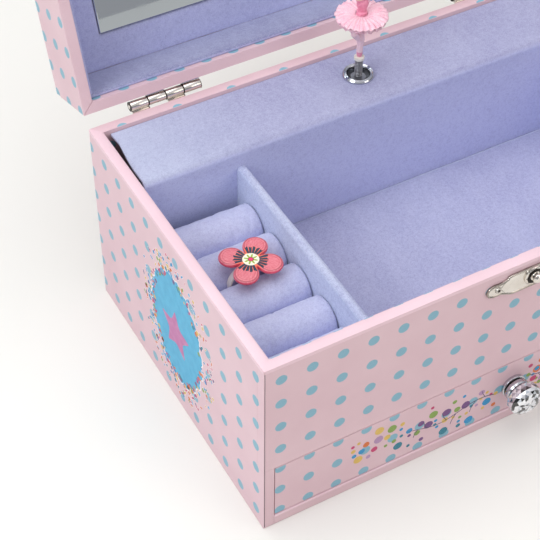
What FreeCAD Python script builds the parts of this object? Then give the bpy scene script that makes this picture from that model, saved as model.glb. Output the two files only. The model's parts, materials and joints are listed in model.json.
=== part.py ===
import FreeCAD, Part
import os
from math import pi, sin, cos, radians, tan, sqrt, atan2, degrees
from FreeCAD import Vector as V

os.makedirs("parts", exist_ok=True)

# ---------------------------------------------------------------- driving dimensions (mm)
# Frame: origin at the centre of the case underside, +X right, +Y back, +Z up.
W = 240.0            # outside width
D = 153.0            # outside depth
H = 98.2             # case height to the rim
T = 4.8              # board thickness of all outer walls
BASE_T = 6.4         # base board; its front edge shows as the strip under the drawer
SHELF_Z0, SHELF_Z1 = 37.9, 40.4     # shelf over the drawer bay
FLOOR_Z = 41.9       # top of the velour floor
LINE_T = 1.5         # velour covered card
LINE_TOP = 94.2      # top edge of the wall linings
PLAT_Y = 36.0        # front face of the raised rear platform
PLAT_Z = 96.5        # top of the platform
PLAT_T = 1.6
DIV_X0, DIV_X1, DIV_Z = -70.9, -66.5, 87.9
ROLL_R, ROLL_Z = 10.1, 67.2
ROLL_FLAT = 8.5      # half width of a roll between its flattened sides
ROLL_Y = [-60.1, -40.2, -19.9, 0.4, 20.5]
LID_H = 33.0         # lid height
LID_GAP = 0.5        # gap between rim and closed lid
HINGE_Y, HINGE_Z = 79.7, 99.8       # hinge pin axis
BARREL_R = 2.1
PIN_R = 0.9
HINGE_X = 82.45      # hinge centre from the middle of the case
HINGE_L = 33.7
OPEN_DEG = 108.5     # the lid rests on its stop at this angle
DRW_Z0, DRW_Z1 = 6.8, 37.3          # drawer front edges
DRW_X = 114.8        # half width of the drawer front
KNOB_Z = 22.5
HASP_DEG = 178.0     # the hasp lies turned up against the lid front
DAN_Y = 54.9         # dancer axis and cylinder axis
FOLD_Z = 101.0       # height of the point where the dancer folds
DAN_H = 54.0         # dancer above the folding point
MOV_Z = 55.0         # winding arbor axis

parts = {}


def box(x0, x1, y0, y1, z0, z1):
    return Part.makeBox(x1 - x0, y1 - y0, z1 - z0, V(x0, y0, z0))


def cyl(x, y, z, r, h, d=(0, 0, 1)):
    return Part.makeCylinder(r, h, V(x, y, z), V(*d))


def tube(x, y, z, r, ri, h, d=(0, 0, 1)):
    return cyl(x, y, z, r, h, d).cut(cyl(x, y, z, ri, h, d))


def prism(pts, d):
    """closed polygon of 3-D points, pushed along d"""
    w = Part.makePolygon([V(*p) for p in pts] + [V(*pts[0])])
    return Part.Face(w).extrude(V(*d))


def revolve(profile, centre, axis=(0, 0, 1)):
    """closed (r, h) profile turned about an axis through centre"""
    pts = [V(r, 0, h) for r, h in profile]
    s = Part.Face(Part.makePolygon(pts + [pts[0]])).revolve(V(0, 0, 0), V(0, 0, 1), 360)
    a = V(*axis)
    rot = FreeCAD.Rotation(V(0, 0, 1), a)
    s.Placement = FreeCAD.Placement(V(*centre), rot)
    return s


def group(shapes):
    return Part.makeCompound(shapes)


def fuse(shapes):
    s = shapes[0]
    if len(shapes) > 1:
        s = s.multiFuse(shapes[1:])
    return s.removeSplitter()


def at_open(s):
    """the lid is drawn closed and turned back to its open rest position"""
    s = s.copy()
    s.rotate(V(0, HINGE_Y, HINGE_Z), V(1, 0, 0), -OPEN_DEG)
    return s


hw, hd = W / 2, D / 2

# ---------------------------------------------------------------- case boards
# the front panel laps over the front ends of the side walls above the drawer
lap = box(-hw - 1, hw + 1, -hd - 1, -hd + T, SHELF_Z0, H + 1)
parts["left_wall"] = box(-hw, -hw + T, -hd, hd, 0, H).cut(lap)
parts["right_wall"] = box(hw - T, hw, -hd, hd, 0, H).cut(lap)
bw = box(-hw + T, hw - T, hd - T, hd, 0, H)
bw = bw.cut(cyl(0, hd - T - 1, MOV_Z, 3.5, T + 2, (0, 1, 0)))
screw_xz = [(-21.5, 48.0), (21.5, 48.0), (0.0, 87.0)]
for x, z in screw_xz:
    bw = bw.cut(cyl(x, hd - T - 1, z, 1.35, T + 2, (0, 1, 0)))
parts["back_wall"] = bw
fp = box(-hw, hw, -hd, -hd + T, SHELF_Z0, H)
base = box(-hw + T, hw - T, -hd, hd - T, 0, BASE_T)
parts["base_board"] = base
parts["shelf"] = box(-hw + T, hw - T, -hd + T, hd - T, SHELF_Z0, SHELF_Z1)

# ---------------------------------------------------------------- linings
ix = hw - T          # inner face of the side walls
fy = -hd + T         # inner face of the front panel
parts["floor_lining"] = box(-ix + LINE_T, ix - LINE_T, fy + LINE_T, PLAT_Y, SHELF_Z1, FLOOR_Z)
parts["wall_linings"] = group([
    box(-ix + LINE_T, ix - LINE_T, fy, fy + LINE_T, SHELF_Z1, LINE_TOP),
    box(-ix, -ix + LINE_T, fy, PLAT_Y, SHELF_Z1, LINE_TOP),
    box(ix - LINE_T, ix, fy, PLAT_Y, SHELF_Z1, LINE_TOP)])

# raised rear platform: an L shaped cover with a soft fold along its front edge
px0, px1 = -ix + 1.9, ix - 1.2
outer = box(px0, px1, PLAT_Y, hd - T, SHELF_Z1, PLAT_Z)
inner = box(px0 - 1, px1 + 1, PLAT_Y + PLAT_T, hd, SHELF_Z1 - 1, PLAT_Z - PLAT_T)
edges = [e for e in outer.Edges if abs(e.CenterOfMass.y - PLAT_Y) < 1e-6 and abs(e.CenterOfMass.z - PLAT_Z) < 1e-6]
outer = outer.makeFillet(3.0, edges)
plat = outer.cut(inner).cut(cyl(0, DAN_Y, PLAT_Z - 4, 5.75, 8))
parts["platform_cover"] = plat

# divider between the ring rolls and the well
dv = box(DIV_X0, DIV_X1, fy + LINE_T, PLAT_Y, FLOOR_Z, DIV_Z)
edges = [e for e in dv.Edges if abs(e.CenterOfMass.z - DIV_Z) < 1e-6 and e.BoundBox.YLength > 50]
parts["divider"] = dv.makeFillet(2.1, edges)

# ring rolls on their riser
riser_top = ROLL_Z - ROLL_R
parts["roll_riser"] = box(-ix + LINE_T, DIV_X0, fy + LINE_T, ROLL_Y[-1] + ROLL_R, FLOOR_Z, riser_top)
rolls = []
for y in ROLL_Y:
    c = cyl(-ix + LINE_T + 0.1, y, ROLL_Z, ROLL_R, (DIV_X0 - 0.1) - (-ix + LINE_T + 0.1), (1, 0, 0))
    c = c.common(box(-ix, DIV_X0, y - ROLL_FLAT, y + ROLL_FLAT, riser_top, ROLL_Z + ROLL_R + 1))
    rolls.append(c)
parts["ring_rolls"] = group(rolls)

# flower ring standing in the slot between the second and third roll from the back
RX, RY, RZ, RR = -90.0, (ROLL_Y[2] + ROLL_Y[3]) / 2, 70.7, 9.6
FY = RY - 1.6         # the flower sits a little forward of the band
band = tube(RX, RY - 1.3, RZ, RR, RR - 0.9, 2.6, (0, 1, 0))
seat = cyl(RX, FY, RZ + RR - 0.5, 3.2, 1.6)
parts["ring_band"] = fuse([band, seat])
petals = [cyl(RX, FY, RZ + RR + 1.1, 4.6, 2.4)]
for k in range(4):
    a = radians(49 + 90 * k)
    petals.append(cyl(RX + 8.1 * cos(a), FY + 8.1 * sin(a), RZ + RR + 1.1, 5.2, 2.4))
parts["ring_flower"] = fuse(petals)

# ---------------------------------------------------------------- rear hinges
PITCH = HINGE_L / 4


def hinge(cx, which):
    """knuckles 1 and 3 belong to the case leaf, 2 and 4 to the lid leaf; drawn with the lid closed"""
    out = []
    x0 = cx - HINGE_L / 2
    for k in ((0, 2) if which == "case" else (1, 3)):
        a, b = x0 + k * PITCH + 0.15, x0 + (k + 1) * PITCH - 0.15
        kn = tube(a, HINGE_Y, HINGE_Z, BARREL_R, PIN_R + 0.05, b - a, (1, 0, 0))
        if which == "case":
            arm = box(a, b, hd, hd + 0.8, HINGE_Z - 5.0, HINGE_Z - 1.15)
            web = box(a, b, hd + 0.2, HINGE_Y - 0.9, HINGE_Z - 1.9, HINGE_Z - 1.15)
        else:
            arm = box(a, b, hd, hd + 0.8, HINGE_Z - 0.2, HINGE_Z + 5.0)
            web = box(a, b, hd + 0.2, HINGE_Y - 0.9, HINGE_Z + 1.1, HINGE_Z + 1.9)
        pin_clear = cyl(a - 1, HINGE_Y, HINGE_Z, PIN_R + 0.05, b - a + 2, (1, 0, 0))
        out.append(fuse([kn, arm, web]).cut(pin_clear))
    if which == "case":
        leaf = box(x0, x0 + HINGE_L, hd, hd + 0.8, HINGE_Z - 13.0, HINGE_Z - 3.2)
    else:
        leaf = box(x0, x0 + HINGE_L, hd, hd + 0.8, HINGE_Z + 3.2, HINGE_Z + 13.0)
    zc = HINGE_Z - 8.4 if which == "case" else HINGE_Z + 8.4
    s = fuse(out + [leaf])
    for dx in (-11.0, 0.0, 11.0):
        s = s.cut(cyl(cx + dx, hd - 1, zc, 1.25, 4, (0, 1, 0)))
    return s


def wood_screw(x, y, z, d, length, shank=1.1, head=2.3, over=0.0):
    """countersunk-look screw: domed head outside, shank into the board; d is the outward direction"""
    prof = [(0, -length), (0.3, -length), (shank, -length + 1.6), (shank, over), (head, over), (head, over + 0.5), (head * 0.6, over + 0.95), (0, over + 1.05)]
    s = revolve(prof, (x, y, z), d)
    return s


hinge_x = (-HINGE_X, HINGE_X)
parts["hinge_case_leaves"] = group([hinge(x, "case") for x in hinge_x])
parts["hinge_lid_leaves"] = at_open(group([hinge(x, "lid") for x in hinge_x]))
parts["hinge_pins"] = group([cyl(x - HINGE_L / 2 - 0.2, HINGE_Y, HINGE_Z, PIN_R, HINGE_L + 0.4, (1, 0, 0)) for x in hinge_x])
hs_case, hs_lid = [], []
back_wall = parts["back_wall"]
for x in hinge_x:
    for dx in (-11.0, 0.0, 11.0):
        hs_case.append(wood_screw(x + dx, hd, HINGE_Z - 8.4, (0, 1, 0), 4.2, over=0.8))
        hs_lid.append(wood_screw(x + dx, hd, HINGE_Z + 8.4, (0, 1, 0), 4.2, over=0.8))
        back_wall = back_wall.cut(cyl(x + dx, hd - 4.4, HINGE_Z - 8.4, 1.15, 5, (0, 1, 0)))
parts["back_wall"] = back_wall
parts["hinge_case_screws"] = group(hs_case)
parts["hinge_lid_screws"] = at_open(group(hs_lid))

# ---------------------------------------------------------------- lid, drawn closed
L0 = H + LID_GAP                # lid rim
L1 = L0 + LID_H                 # lid top


def mitred(x0, x1, y0, y1, z0, z1, t):
    """four mitred rails of a frame: front, back, left, right"""
    f = prism([(x0, y0, z0), (x1, y0, z0), (x1 - t, y0 + t, z0), (x0 + t, y0 + t, z0)], (0, 0, z1 - z0))
    b = prism([(x0, y1, z0), (x0 + t, y1 - t, z0), (x1 - t, y1 - t, z0), (x1, y1, z0)], (0, 0, z1 - z0))
    l = prism([(x0, y0, z0), (x0 + t, y0 + t, z0), (x0 + t, y1 - t, z0), (x0, y1, z0)], (0, 0, z1 - z0))
    r = prism([(x1, y0, z0), (x1, y1, z0), (x1 - t, y1 - t, z0), (x1 - t, y0 + t, z0)], (0, 0, z1 - z0))
    return f, b, l, r


TOP_T = 4.8
f, b, l, r = mitred(-hw, hw, -hd, hd, L0, L1 - TOP_T, T)
for x in hinge_x:
    for dx in (-11.0, 0.0, 11.0):
        b = b.cut(cyl(x + dx, hd - 4.4, HINGE_Z + 8.4, 1.15, 5, (0, 1, 0)))
UZ = 107.0                      # middle of the upper clasp plate
for x in (-16.8, 16.8):
    f = f.cut(cyl(x, -hd - 1, UZ, 0.75, 5.2, (0, 1, 0)))
parts["lid_front_wall"] = at_open(f)
parts["lid_back_wall"] = at_open(b)
parts["lid_side_walls"] = at_open(group([l, r]))
parts["lid_board"] = at_open(box(-hw, hw, -hd, hd, L1 - TOP_T, L1))
# lavender strips inside the lid, set 3.5 back from the rim, and the card round the mirror
f, b, l, r = mitred(-ix, ix, fy, -fy, L0 + 3.5, L1 - TOP_T, 2.0)
MIR_X, MIR_Y = 97.0, 54.0
card = box(-ix + 2, ix - 2, fy + 2, -fy - 2, L1 - TOP_T - 1.5, L1 - TOP_T).cut(box(-MIR_X, MIR_X, -MIR_Y, MIR_Y, 0, 200))
parts["lid_lining"] = at_open(group([f, b, l, r, card]))
parts["mirror"] = at_open(box(-MIR_X + 0.2, MIR_X - 0.2, -MIR_Y + 0.2, MIR_Y - 0.2, L1 - TOP_T - 2.2, L1 - TOP_T))

# ---------------------------------------------------------------- clasp
YF = -hd
CL_T = 0.8


def plate_outline(zc, up):
    """lobed outline in x, z; up = +1 has its shoulders on the upper side"""
    pts = [(-22.2, zc), (-21.3, zc + up * 2.2), (-19.0, zc + up * 3.1), (-15.4, zc + up * 3.0), (-12.6, zc + up * 4.0), (-10.6, zc + up * 5.2), (10.6, zc + up * 5.2), (12.6, zc + up * 4.0), (15.4, zc + up * 3.0), (19.0, zc + up * 3.1), (21.3, zc + up * 2.2), (22.2, zc),
           (21.3, zc - up * 2.2), (19.0, zc - up * 3.1), (15.4, zc - up * 3.2), (12.2, zc - up * 4.6), (9.0, zc - up * 5.6), (-9.0, zc - up * 5.6), (-12.2, zc - up * 4.6), (-15.4, zc - up * 3.2), (-19.0, zc - up * 3.1), (-21.3, zc - up * 2.2)]
    return pts


CLZ = 89.4
pl = prism([(x, YF, z) for x, z in plate_outline(CLZ, 1)], (0, -CL_T, 0))
for x in (-16.8, 16.8):
    pl = pl.cut(cyl(x, YF + 1, CLZ, 0.75, 3, (0, -1, 0)))
    fp = fp.cut(cyl(x, YF - 1, CLZ, 0.75, 5.2, (0, 1, 0)))
stud = revolve([(0, -3.6), (1.15, -3.6), (1.15, CL_T), (4.6, CL_T), (4.6, CL_T + 0.6), (4.1, CL_T + 0.9), (1.5, CL_T + 0.9), (1.4, CL_T + 1.6), (2.3, CL_T + 2.3), (2.3, CL_T + 3.0), (1.5, CL_T + 3.7), (0, CL_T + 3.9)], (0, YF, 90.0), (0, -1, 0))
pl = pl.cut(cyl(0, YF + 1, 90.0, 1.2, 3, (0, -1, 0)))
fp = fp.cut(cyl(0, YF - 1, 90.0, 1.2, 4.8, (0, 1, 0)))
parts["front_panel"] = fp
parts["clasp_plate"] = pl
parts["clasp_stud"] = stud
nail = lambda x, z: revolve([(0, -3.8), (0.7, -3.4), (0.7, CL_T), (1.5, CL_T), (1.3, CL_T + 0.45), (0, CL_T + 0.6)], (x, YF, z), (0, -1, 0))
parts["clasp_nails"] = group([nail(x, CLZ) for x in (-16.8, 16.8)])
up = prism([(x, YF, z) for x, z in plate_outline(UZ, -1)], (0, -CL_T, 0))
for x in (-16.8, 16.8):
    up = up.cut(cyl(x, YF + 1, UZ, 0.75, 3, (0, -1, 0)))
# hasp hinge at the lower edge of the upper plate
HZ, HY = 101.2, YF - 2.7
lugs = []
for a, b_ in ((-8.0, -4.1), (4.1, 8.0)):
    lug = tube(a, HY, HZ, 1.7, 0.75, b_ - a, (1, 0, 0))
    arm = box(a, b_, YF - CL_T, YF, HZ - 0.4, HZ + 3.2)
    web = box(a, b_, HY + 0.6, YF - 0.2, HZ + 0.9, HZ + 1.6)
    lugs.append(fuse([lug, arm, web]).cut(cyl(a - 1, HY, HZ, 0.75, b_ - a + 2, (1, 0, 0))))
up = fuse([up] + lugs)
parts["clasp_upper_plate"] = at_open(up)
parts["clasp_upper_nails"] = at_open(group([nail(x, UZ) for x in (-16.8, 16.8)]))
parts["hasp_pin"] = at_open(cyl(-8.2, HY, HZ, 0.7, 16.4, (1, 0, 0)))
# the hasp is drawn hanging over the stud, and rests turned up against the lid front
hy0 = YF - CL_T - 1.35
strap = box(-5.6, 5.6, hy0 - 0.9, hy0, 84.0, HZ - 2.2)
for e_r in (3.0,):
    ed = [e for e in strap.Edges if e.BoundBox.YLength > 0.5 and e.BoundBox.XLength < 1e-6 and e.BoundBox.ZLength < 1e-6 and e.CenterOfMass.z < 90]
    strap = strap.makeFillet(e_r, ed)
strap = strap.cut(cyl(0, hy0 + 1, 90.0, 2.7, 4, (0, -1, 0)))
kn = tube(-3.9, HY, HZ, 1.7, 0.75, 7.8, (1, 0, 0))
tail = box(-3.6, 3.6, hy0 - 0.9, hy0, HZ - 3.2, HZ - 0.2)
tab = box(-4.0, 4.0, hy0 - 0.9, hy0, 82.0, 85.5)
hasp = fuse([strap, kn, tail, tab]).cut(cyl(-9, HY, HZ, 0.75, 18, (1, 0, 0)))
hasp.rotate(V(0, HY, HZ), V(1, 0, 0), -HASP_DEG)
parts["hasp"] = at_open(hasp)

# ---------------------------------------------------------------- drawer
DT = 4.6
df = box(-DRW_X, DRW_X, -hd, -hd + DT, DRW_Z0, DRW_Z1).cut(cyl(0, -hd - 1, KNOB_Z, 1.6, DT + 2, (0, 1, 0)))
parts["drawer_front"] = df
sx, sb = 113.4, 66.0         # half width and rear end of the drawer body
parts["drawer_sides"] = group([box(-sx, -sx + 3, -hd + DT, sb, DRW_Z0, 34.5), box(sx - 3, sx, -hd + DT, sb, DRW_Z0, 34.5)])
parts["drawer_back"] = box(-sx + 3, sx - 3, sb - 3, sb, DRW_Z0, 34.5)
parts["drawer_bottom"] = box(-sx + 3, sx - 3, -hd + DT, sb - 3, DRW_Z0, DRW_Z0 + 2)
parts["drawer_lining"] = box(-sx + 3.2, sx - 3.2, -hd + DT + 0.2, sb - 3.2, DRW_Z0 + 2, DRW_Z0 + 3)
ky = -hd
parts["knob_collar"] = revolve([(1.7, 0), (5.6, 0), (5.8, 0.4), (5.8, 1.5), (5.1, 1.8), (5.1, 2.4), (5.6, 2.7), (5.6, 4.2), (5.2, 5.0), (5.2, 5.4), (1.7, 5.4)], (0, ky, KNOB_Z), (0, -1, 0))
# cut-glass head: an octagonal brilliant
cr = []
N = 12
prof = [(5.4, 5.4), (7.4, 6.8), (7.8, 8.8), (7.6, 11.0), (6.1, 12.6), (3.8, 13.2)]


def ring_pts(r, h, off):
    return [V(r * cos(2 * pi * (k + off) / N), -h + ky, KNOB_Z + r * sin(2 * pi * (k + off) / N)) for k in range(N)]


rings = [ring_pts(r, h, 0.5 * (i % 2)) for i, (r, h) in enumerate(prof)]
faces = [Part.Face(Part.makePolygon(rings[0] + [rings[0][0]])), Part.Face(Part.makePolygon(rings[-1] + [rings[-1][0]]))]
for i in range(len(rings) - 1):
    a, b_ = rings[i], rings[i + 1]
    for k in range(N):
        k1 = (k + 1) % N
        if i % 2 == 0:
            tris = [(a[k], a[k1], b_[k]), (b_[k], a[k1], b_[k1])]
        else:
            tris = [(a[k], b_[k1], b_[k]), (a[k], a[k1], b_[k1])]
        for t3 in tris:
            faces.append(Part.Face(Part.makePolygon(list(t3) + [t3[0]])))
shell = Part.makeShell(faces)
head = Part.makeSolid(shell)
if head.Volume < 0:
    head.reverse()
head = head.cut(cyl(0, ky - 5, KNOB_Z, 1.6, 6.0, (0, -1, 0)))
parts["knob_crystal"] = head
parts["knob_screw"] = revolve([(0, -5.9 - 0.0), (0.1, -6.9), (3.2, -6.2), (3.2, -DT - 0.0), (1.5, -DT), (1.5, 10.6), (0, 10.6)], (0, ky, KNOB_Z), (0, -1, 0))

# ---------------------------------------------------------------- musical movement on the back wall
MY = hd - T                       # inner face of the back wall
plate_y0 = MY - 2.5
GOV_X1 = -10.125                  # governor wheel arbor
GOV_X2 = -18.125                  # air fly arbor


def gear(n, m, x, y, z0, z1, phase, bore):
    """spur gear with a tooth centred on the phase angle (degrees)"""
    rp, rt, rr = m * n / 2, m * n / 2 + 0.75 * m, m * n / 2 - 1.1 * m
    pts = []
    for k in range(n):
        c = radians(phase + 360.0 * k / n)
        p = 2 * pi / n
        for r, da in ((rr, -0.24 * p), (rt, -0.13 * p), (rt, 0.13 * p), (rr, 0.24 * p)):
            pts.append((x + r * cos(c + da), y + r * sin(c + da), z0))
    g = prism(pts, (0, 0, z1 - z0))
    if bore:
        g = g.cut(cyl(x, y, z0 - 1, bore, z1 - z0 + 2))
    return g


bed = box(-26, 26, plate_y0, MY, 43.0, 92.0)
lug_lo = fuse([box(-3.2, 17.2, DAN_Y - 3.2, 57.0, 60.4, 62.2), box(14.2, 17.2, DAN_Y - 3.2, plate_y0 + 0.5, 60.4, 62.2)])
lug_hi = box(-3.2, 6.0, DAN_Y - 3.2, plate_y0 + 0.5, 90.4, 92.0)
comb_block = box(15.5, 25.5, 55.45, plate_y0 + 0.5, 69.5, 86.5)
bed = fuse([bed, lug_lo, lug_hi, comb_block])
bed = bed.cut(cyl(0, DAN_Y, 60, 1.25, 34)).cut(cyl(0, 60, MOV_Z, 3.3, 15, (0, 1, 0)))
for x, z in screw_xz:
    bed = bed.cut(cyl(x, plate_y0 - 1, z, 1.15, 6, (0, 1, 0)))
for z in (73.0, 83.0):
    bed = bed.cut(cyl(20.5, 55, z, 1.05, 8, (0, 1, 0)))
for z in (72.0, 88.0):
    bed = bed.cut(cyl(-24.0, plate_y0 - 1, z, 0.85, 3.4, (0, 1, 0)))
parts["movement_bedplate"] = bed
parts["movement_screws"] = group([revolve([(0, -7.0), (1.1, -7.0), (1.1, 0), (2.6, 0), (2.6, 0.9), (1.8, 1.5), (0, 1.6)], (x, hd, z), (0, 1, 0)) for x, z in screw_xz])
# spring housing: a cup against the bedplate, closed by the mainspring inside
hz0, hz1 = 61.6, plate_y0
house = cyl(0, hz0, MOV_Z, 11.2, hz1 - hz0, (0, 1, 0)).cut(cyl(0, hz0 + 0.9, MOV_Z, 10.4, hz1 - hz0, (0, 1, 0))).cut(cyl(0, hz0 - 1, MOV_Z, 2.6, 4, (0, 1, 0)))
parts["spring_housing"] = house
parts["mainspring"] = tube(0, hz0 + 1.3, MOV_Z, 9.9, 4.0, hz1 - hz0 - 1.8, (0, 1, 0))
# winding arbor with its key outside the back
arb = revolve([(0, 0), (2.0, 0), (2.0, 27.0), (1.6, 27.0), (1.6, 31.0), (0, 31.0)], (0, 57.2, MOV_Z), (0, 1, 0))
parts["winding_arbor"] = arb
key = fuse([cyl(0, 79.4, MOV_Z, 3.4, 6.0, (0, 1, 0)), box(-1.3, 1.3, 84.8, 90.0, MOV_Z - 2.5, MOV_Z + 2.5),
            tube(-1.3, 92.6, MOV_Z + 5.2, 6.0, 2.6, 2.6, (1, 0, 0)), tube(-1.3, 92.6, MOV_Z - 5.2, 6.0, 2.6, 2.6, (1, 0, 0)), box(-1.3, 1.3, 87.5, 92.0, MOV_Z - 4.5, MOV_Z + 4.5)])
key = key.cut(tube(-3, 92.6, MOV_Z + 5.2, 2.6, 0.01, 6, (1, 0, 0))).cut(cyl(-3, 92.6, MOV_Z - 5.2, 2.6, 6, (1, 0, 0))).cut(cyl(-3, 92.6, MOV_Z + 5.2, 2.6, 6, (1, 0, 0)))
key = key.cut(cyl(0, 57.0, MOV_Z, 2.0, 27.2, (0, 1, 0))).cut(cyl(0, 57.0, MOV_Z, 1.6, 31.2, (0, 1, 0)))
parts["winding_key"] = key
# great wheel: a crown wheel whose teeth face the cylinder pinion
GW_N, PN = 44, 12
GW_R = 12.0
PR = GW_R * PN / GW_N
disc = cyl(0, 59.5, MOV_Z, 13.0, 1.4, (0, 1, 0))
teeth = []
for k in range(GW_N):
    a = 90.0 + 360.0 * k / GW_N
    tb = box(10.9, 13.0, 57.95, 59.7, -0.29, 0.29)
    tb.rotate(V(0, 0, 0), V(0, 1, 0), -a)
    tb.translate(V(0, 0, MOV_Z))
    teeth.append(tb)
gw = disc.multiFuse(teeth).removeSplitter()
gw = gw.cut(cyl(0, 55, MOV_Z, 2.06, 8, (0, 1, 0)))
for k in range(5):
    a = 2 * pi * k / 5
    gw = gw.cut(cyl(6.8 * cos(a), 55, MOV_Z + 6.8 * sin(a), 1.9, 8, (0, 1, 0)))
parts["great_wheel"] = gw
# pinned cylinder on the vertical arbor
parts["cylinder_arbor"] = fuse([cyl(0, DAN_Y, 60.0, 1.2, 34.6), cyl(0, DAN_Y, 94.6, 3.4, 1.2)])
drum = tube(0, DAN_Y, 70.0, 6.5, 1.2, 15.5)
pins = []
seq = [0, 5, 9, 3, 12, 7, 15, 1, 10, 4, 13, 6, 16, 2, 11, 8, 14, 17]
for k in range(54):
    row = seq[k % 18]
    ang = radians(16 + (k * 137.508) % 328)
    z = 71.0 + row * 0.8
    p = cyl(6.3 * cos(ang), DAN_Y + 6.3 * sin(ang), z, 0.16, 0.62, (cos(ang), sin(ang), 0))
    pins.append(p)
parts["cylinder"] = drum.multiFuse(pins)
mp = 2 * PR / PN
pin_g = []
rp, rt, rr = PR, PR + 0.5, PR - 0.72
pts = []
for k in range(PN):
    c = radians(90 + 15 + 360.0 * k / PN)
    p = 2 * pi / PN
    for r_, da in ((rr, -0.25 * p), (rt, -0.13 * p), (rt, 0.13 * p), (rr, 0.25 * p)):
        pts.append((r_ * cos(c + da), DAN_Y + r_ * sin(c + da), 64.6))
parts["cylinder_gears"] = group([prism(pts, (0, 0, 5.0)).cut(cyl(0, DAN_Y, 60, 1.2, 20)), gear(36, 0.45, 0, DAN_Y, 86.3, 87.5, 180, 1.2)])
# comb and its screws
comb = box(7.35, 25.5, 54.45, 55.45, 70.4, 85.6)
for k in range(18):
    z = 70.4 + 15.2 * (k + 1) / 19.0
    comb = comb.cut(box(6.0, 15.5 + 2.0 * k / 17.0 - 1.0, 54.0, 56.0, z - 0.16, z + 0.16))
for z in (73.0, 83.0):
    comb = comb.cut(cyl(20.5, 54, z, 1.15, 3, (0, 1, 0)))
parts["comb"] = comb
comb_screws = [revolve([(0, -6.5), (1.0, -6.5), (1.0, 0), (2.1, 0), (2.1, 1.0), (1.6, 1.4), (0, 1.4)], (20.5, 54.45, z), (0, -1, 0)) for z in (73.0, 83.0)]
# governor bracket
gb = box(-25.6, -8.0, plate_y0 - 1.2, plate_y0, 69.0, 92.0)
gb = fuse([gb, box(-21.0, -8.0, 52.6, plate_y0 - 0.6, 90.4, 92.0), box(-11.9, -8.3, 52.8, plate_y0 - 0.6, 83.0, 84.2), box(-20.4, -15.9, 52.8, plate_y0 - 0.6, 69.0, 70.4)])
gb = gb.cut(cyl(GOV_X1, DAN_Y, 82, 0.65, 12)).cut(cyl(GOV_X2, DAN_Y, 60, 0.65, 34))
for z in (72.0, 88.0):
    gb = gb.cut(cyl(-24.0, plate_y0 - 3, z, 0.85, 6, (0, 1, 0)))
parts["governor_bracket"] = gb
parts["small_screws"] = group(comb_screws + [revolve([(0, -3.2), (0.8, -3.2), (0.8, 0), (1.5, 0), (1.5, 0.7), (0, 0.9)], (-24.0, plate_y0 - 1.2, z), (0, -1, 0)) for z in (72.0, 88.0)])
# the mesh direction between cylinder and governor is -X: the gear has a tooth there, the pinion a gap
g1 = gear(9, 0.45, GOV_X1, DAN_Y, 85.9, 87.9, 0 + 20, 0)
g2 = gear(32, 0.4, GOV_X1, DAN_Y, 88.2, 89.1, 180, 0)
parts["governor_wheel"] = fuse([g1, g2, cyl(GOV_X1, DAN_Y, 83.3, 0.6, 8.3), cyl(GOV_X1, DAN_Y, 84.5, 1.1, 4.0)])
f1 = gear(8, 0.4, GOV_X2, DAN_Y, 87.8, 89.5, 0 + 22.5, 0)
fly = fuse([f1, cyl(GOV_X2, DAN_Y, 69.3, 0.6, 22.3), cyl(GOV_X2, DAN_Y, 71.0, 1.1, 16.8),
            box(GOV_X2 - 5.2, GOV_X2 + 5.2, DAN_Y - 0.3, DAN_Y + 0.3, 73.0, 82.0)])
parts["air_fly"] = fly

# ---------------------------------------------------------------- dancer
parts["cup_ring"] = revolve([(5.2, 92.3), (5.6, 92.3), (5.6, PLAT_Z), (7.1, PLAT_Z), (7.1, PLAT_Z + 0.7), (6.5, PLAT_Z + 1.5), (5.9, PLAT_Z + 0.9), (5.7, PLAT_Z + 0.9), (5.4, PLAT_Z + 1.3), (5.2, PLAT_Z + 1.0)], (0, DAN_Y, 0))
parts["dancer_spring"] = tube(0, DAN_Y, 96.1, 1.9, 1.3, 9.4)
parts["dancer_peg"] = revolve([(0, 105.5), (2.3, 105.5), (2.3, 106.7), (1.0, 107.1), (1.0, 110.0), (0, 110.0)], (0, DAN_Y, 0))
# the figure and her skirt, drawn plain: a turned figure with raised arms
fz = 107.2
leg = revolve([(1.1, fz), (1.6, fz), (1.8, 110.5), (1.5, 113.0), (2.4, 118.0), (2.1, 121.0), (3.4, 126.0), (3.9, 129.0), (2.6, 133.0), (3.3, 137.5), (1.3, 140.2), (1.2, 141.6), (2.9, 143.4), (3.1, 146.0), (2.0, 148.4), (1.3, 149.2), (1.3, 150.4), (0, 150.9), (0, 110.05), (1.1, 110.05)], (0, DAN_Y, 0))
arms = []
for s in (-1, 1):
    p = [V(s * 2.0, DAN_Y, 137.6), V(s * 7.2, DAN_Y, 143.5), V(s * 6.4, DAN_Y, 149.5), V(s * 1.9, DAN_Y, 153.8)]
    segs = []
    for i in range(3):
        dv_ = p[i + 1].sub(p[i])
        segs.append(Part.makeCone(1.15 - 0.15 * i, 1.0 - 0.15 * i, dv_.Length, p[i], dv_))
        if i:
            segs.append(Part.makeSphere(1.15 - 0.12 * i, p[i]))
    segs.append(Part.makeSphere(0.75, p[3]))
    arms += segs
parts["dancer_figure"] = fuse([leg] + arms)
parts["dancer_tutu"] = revolve([(4.3, 126.6), (11.6, 125.6), (11.8, 127.4), (8.0, 129.6), (4.3, 130.6)], (0, DAN_Y, 0))

for name, shape in parts.items():
    if not shape.isValid():
        print("INVALID", name)
    shape.exportStep("parts/%s.step" % name)
    print("%-22s solids %2d volume %10.2f" % (name, len(shape.Solids), shape.Volume))
print(len(parts), "parts")
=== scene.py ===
import bpy, bmesh, json, math, random
from math import pi, sin, cos, radians, sqrt, atan2
from mathutils import Matrix, Vector, noise

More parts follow.
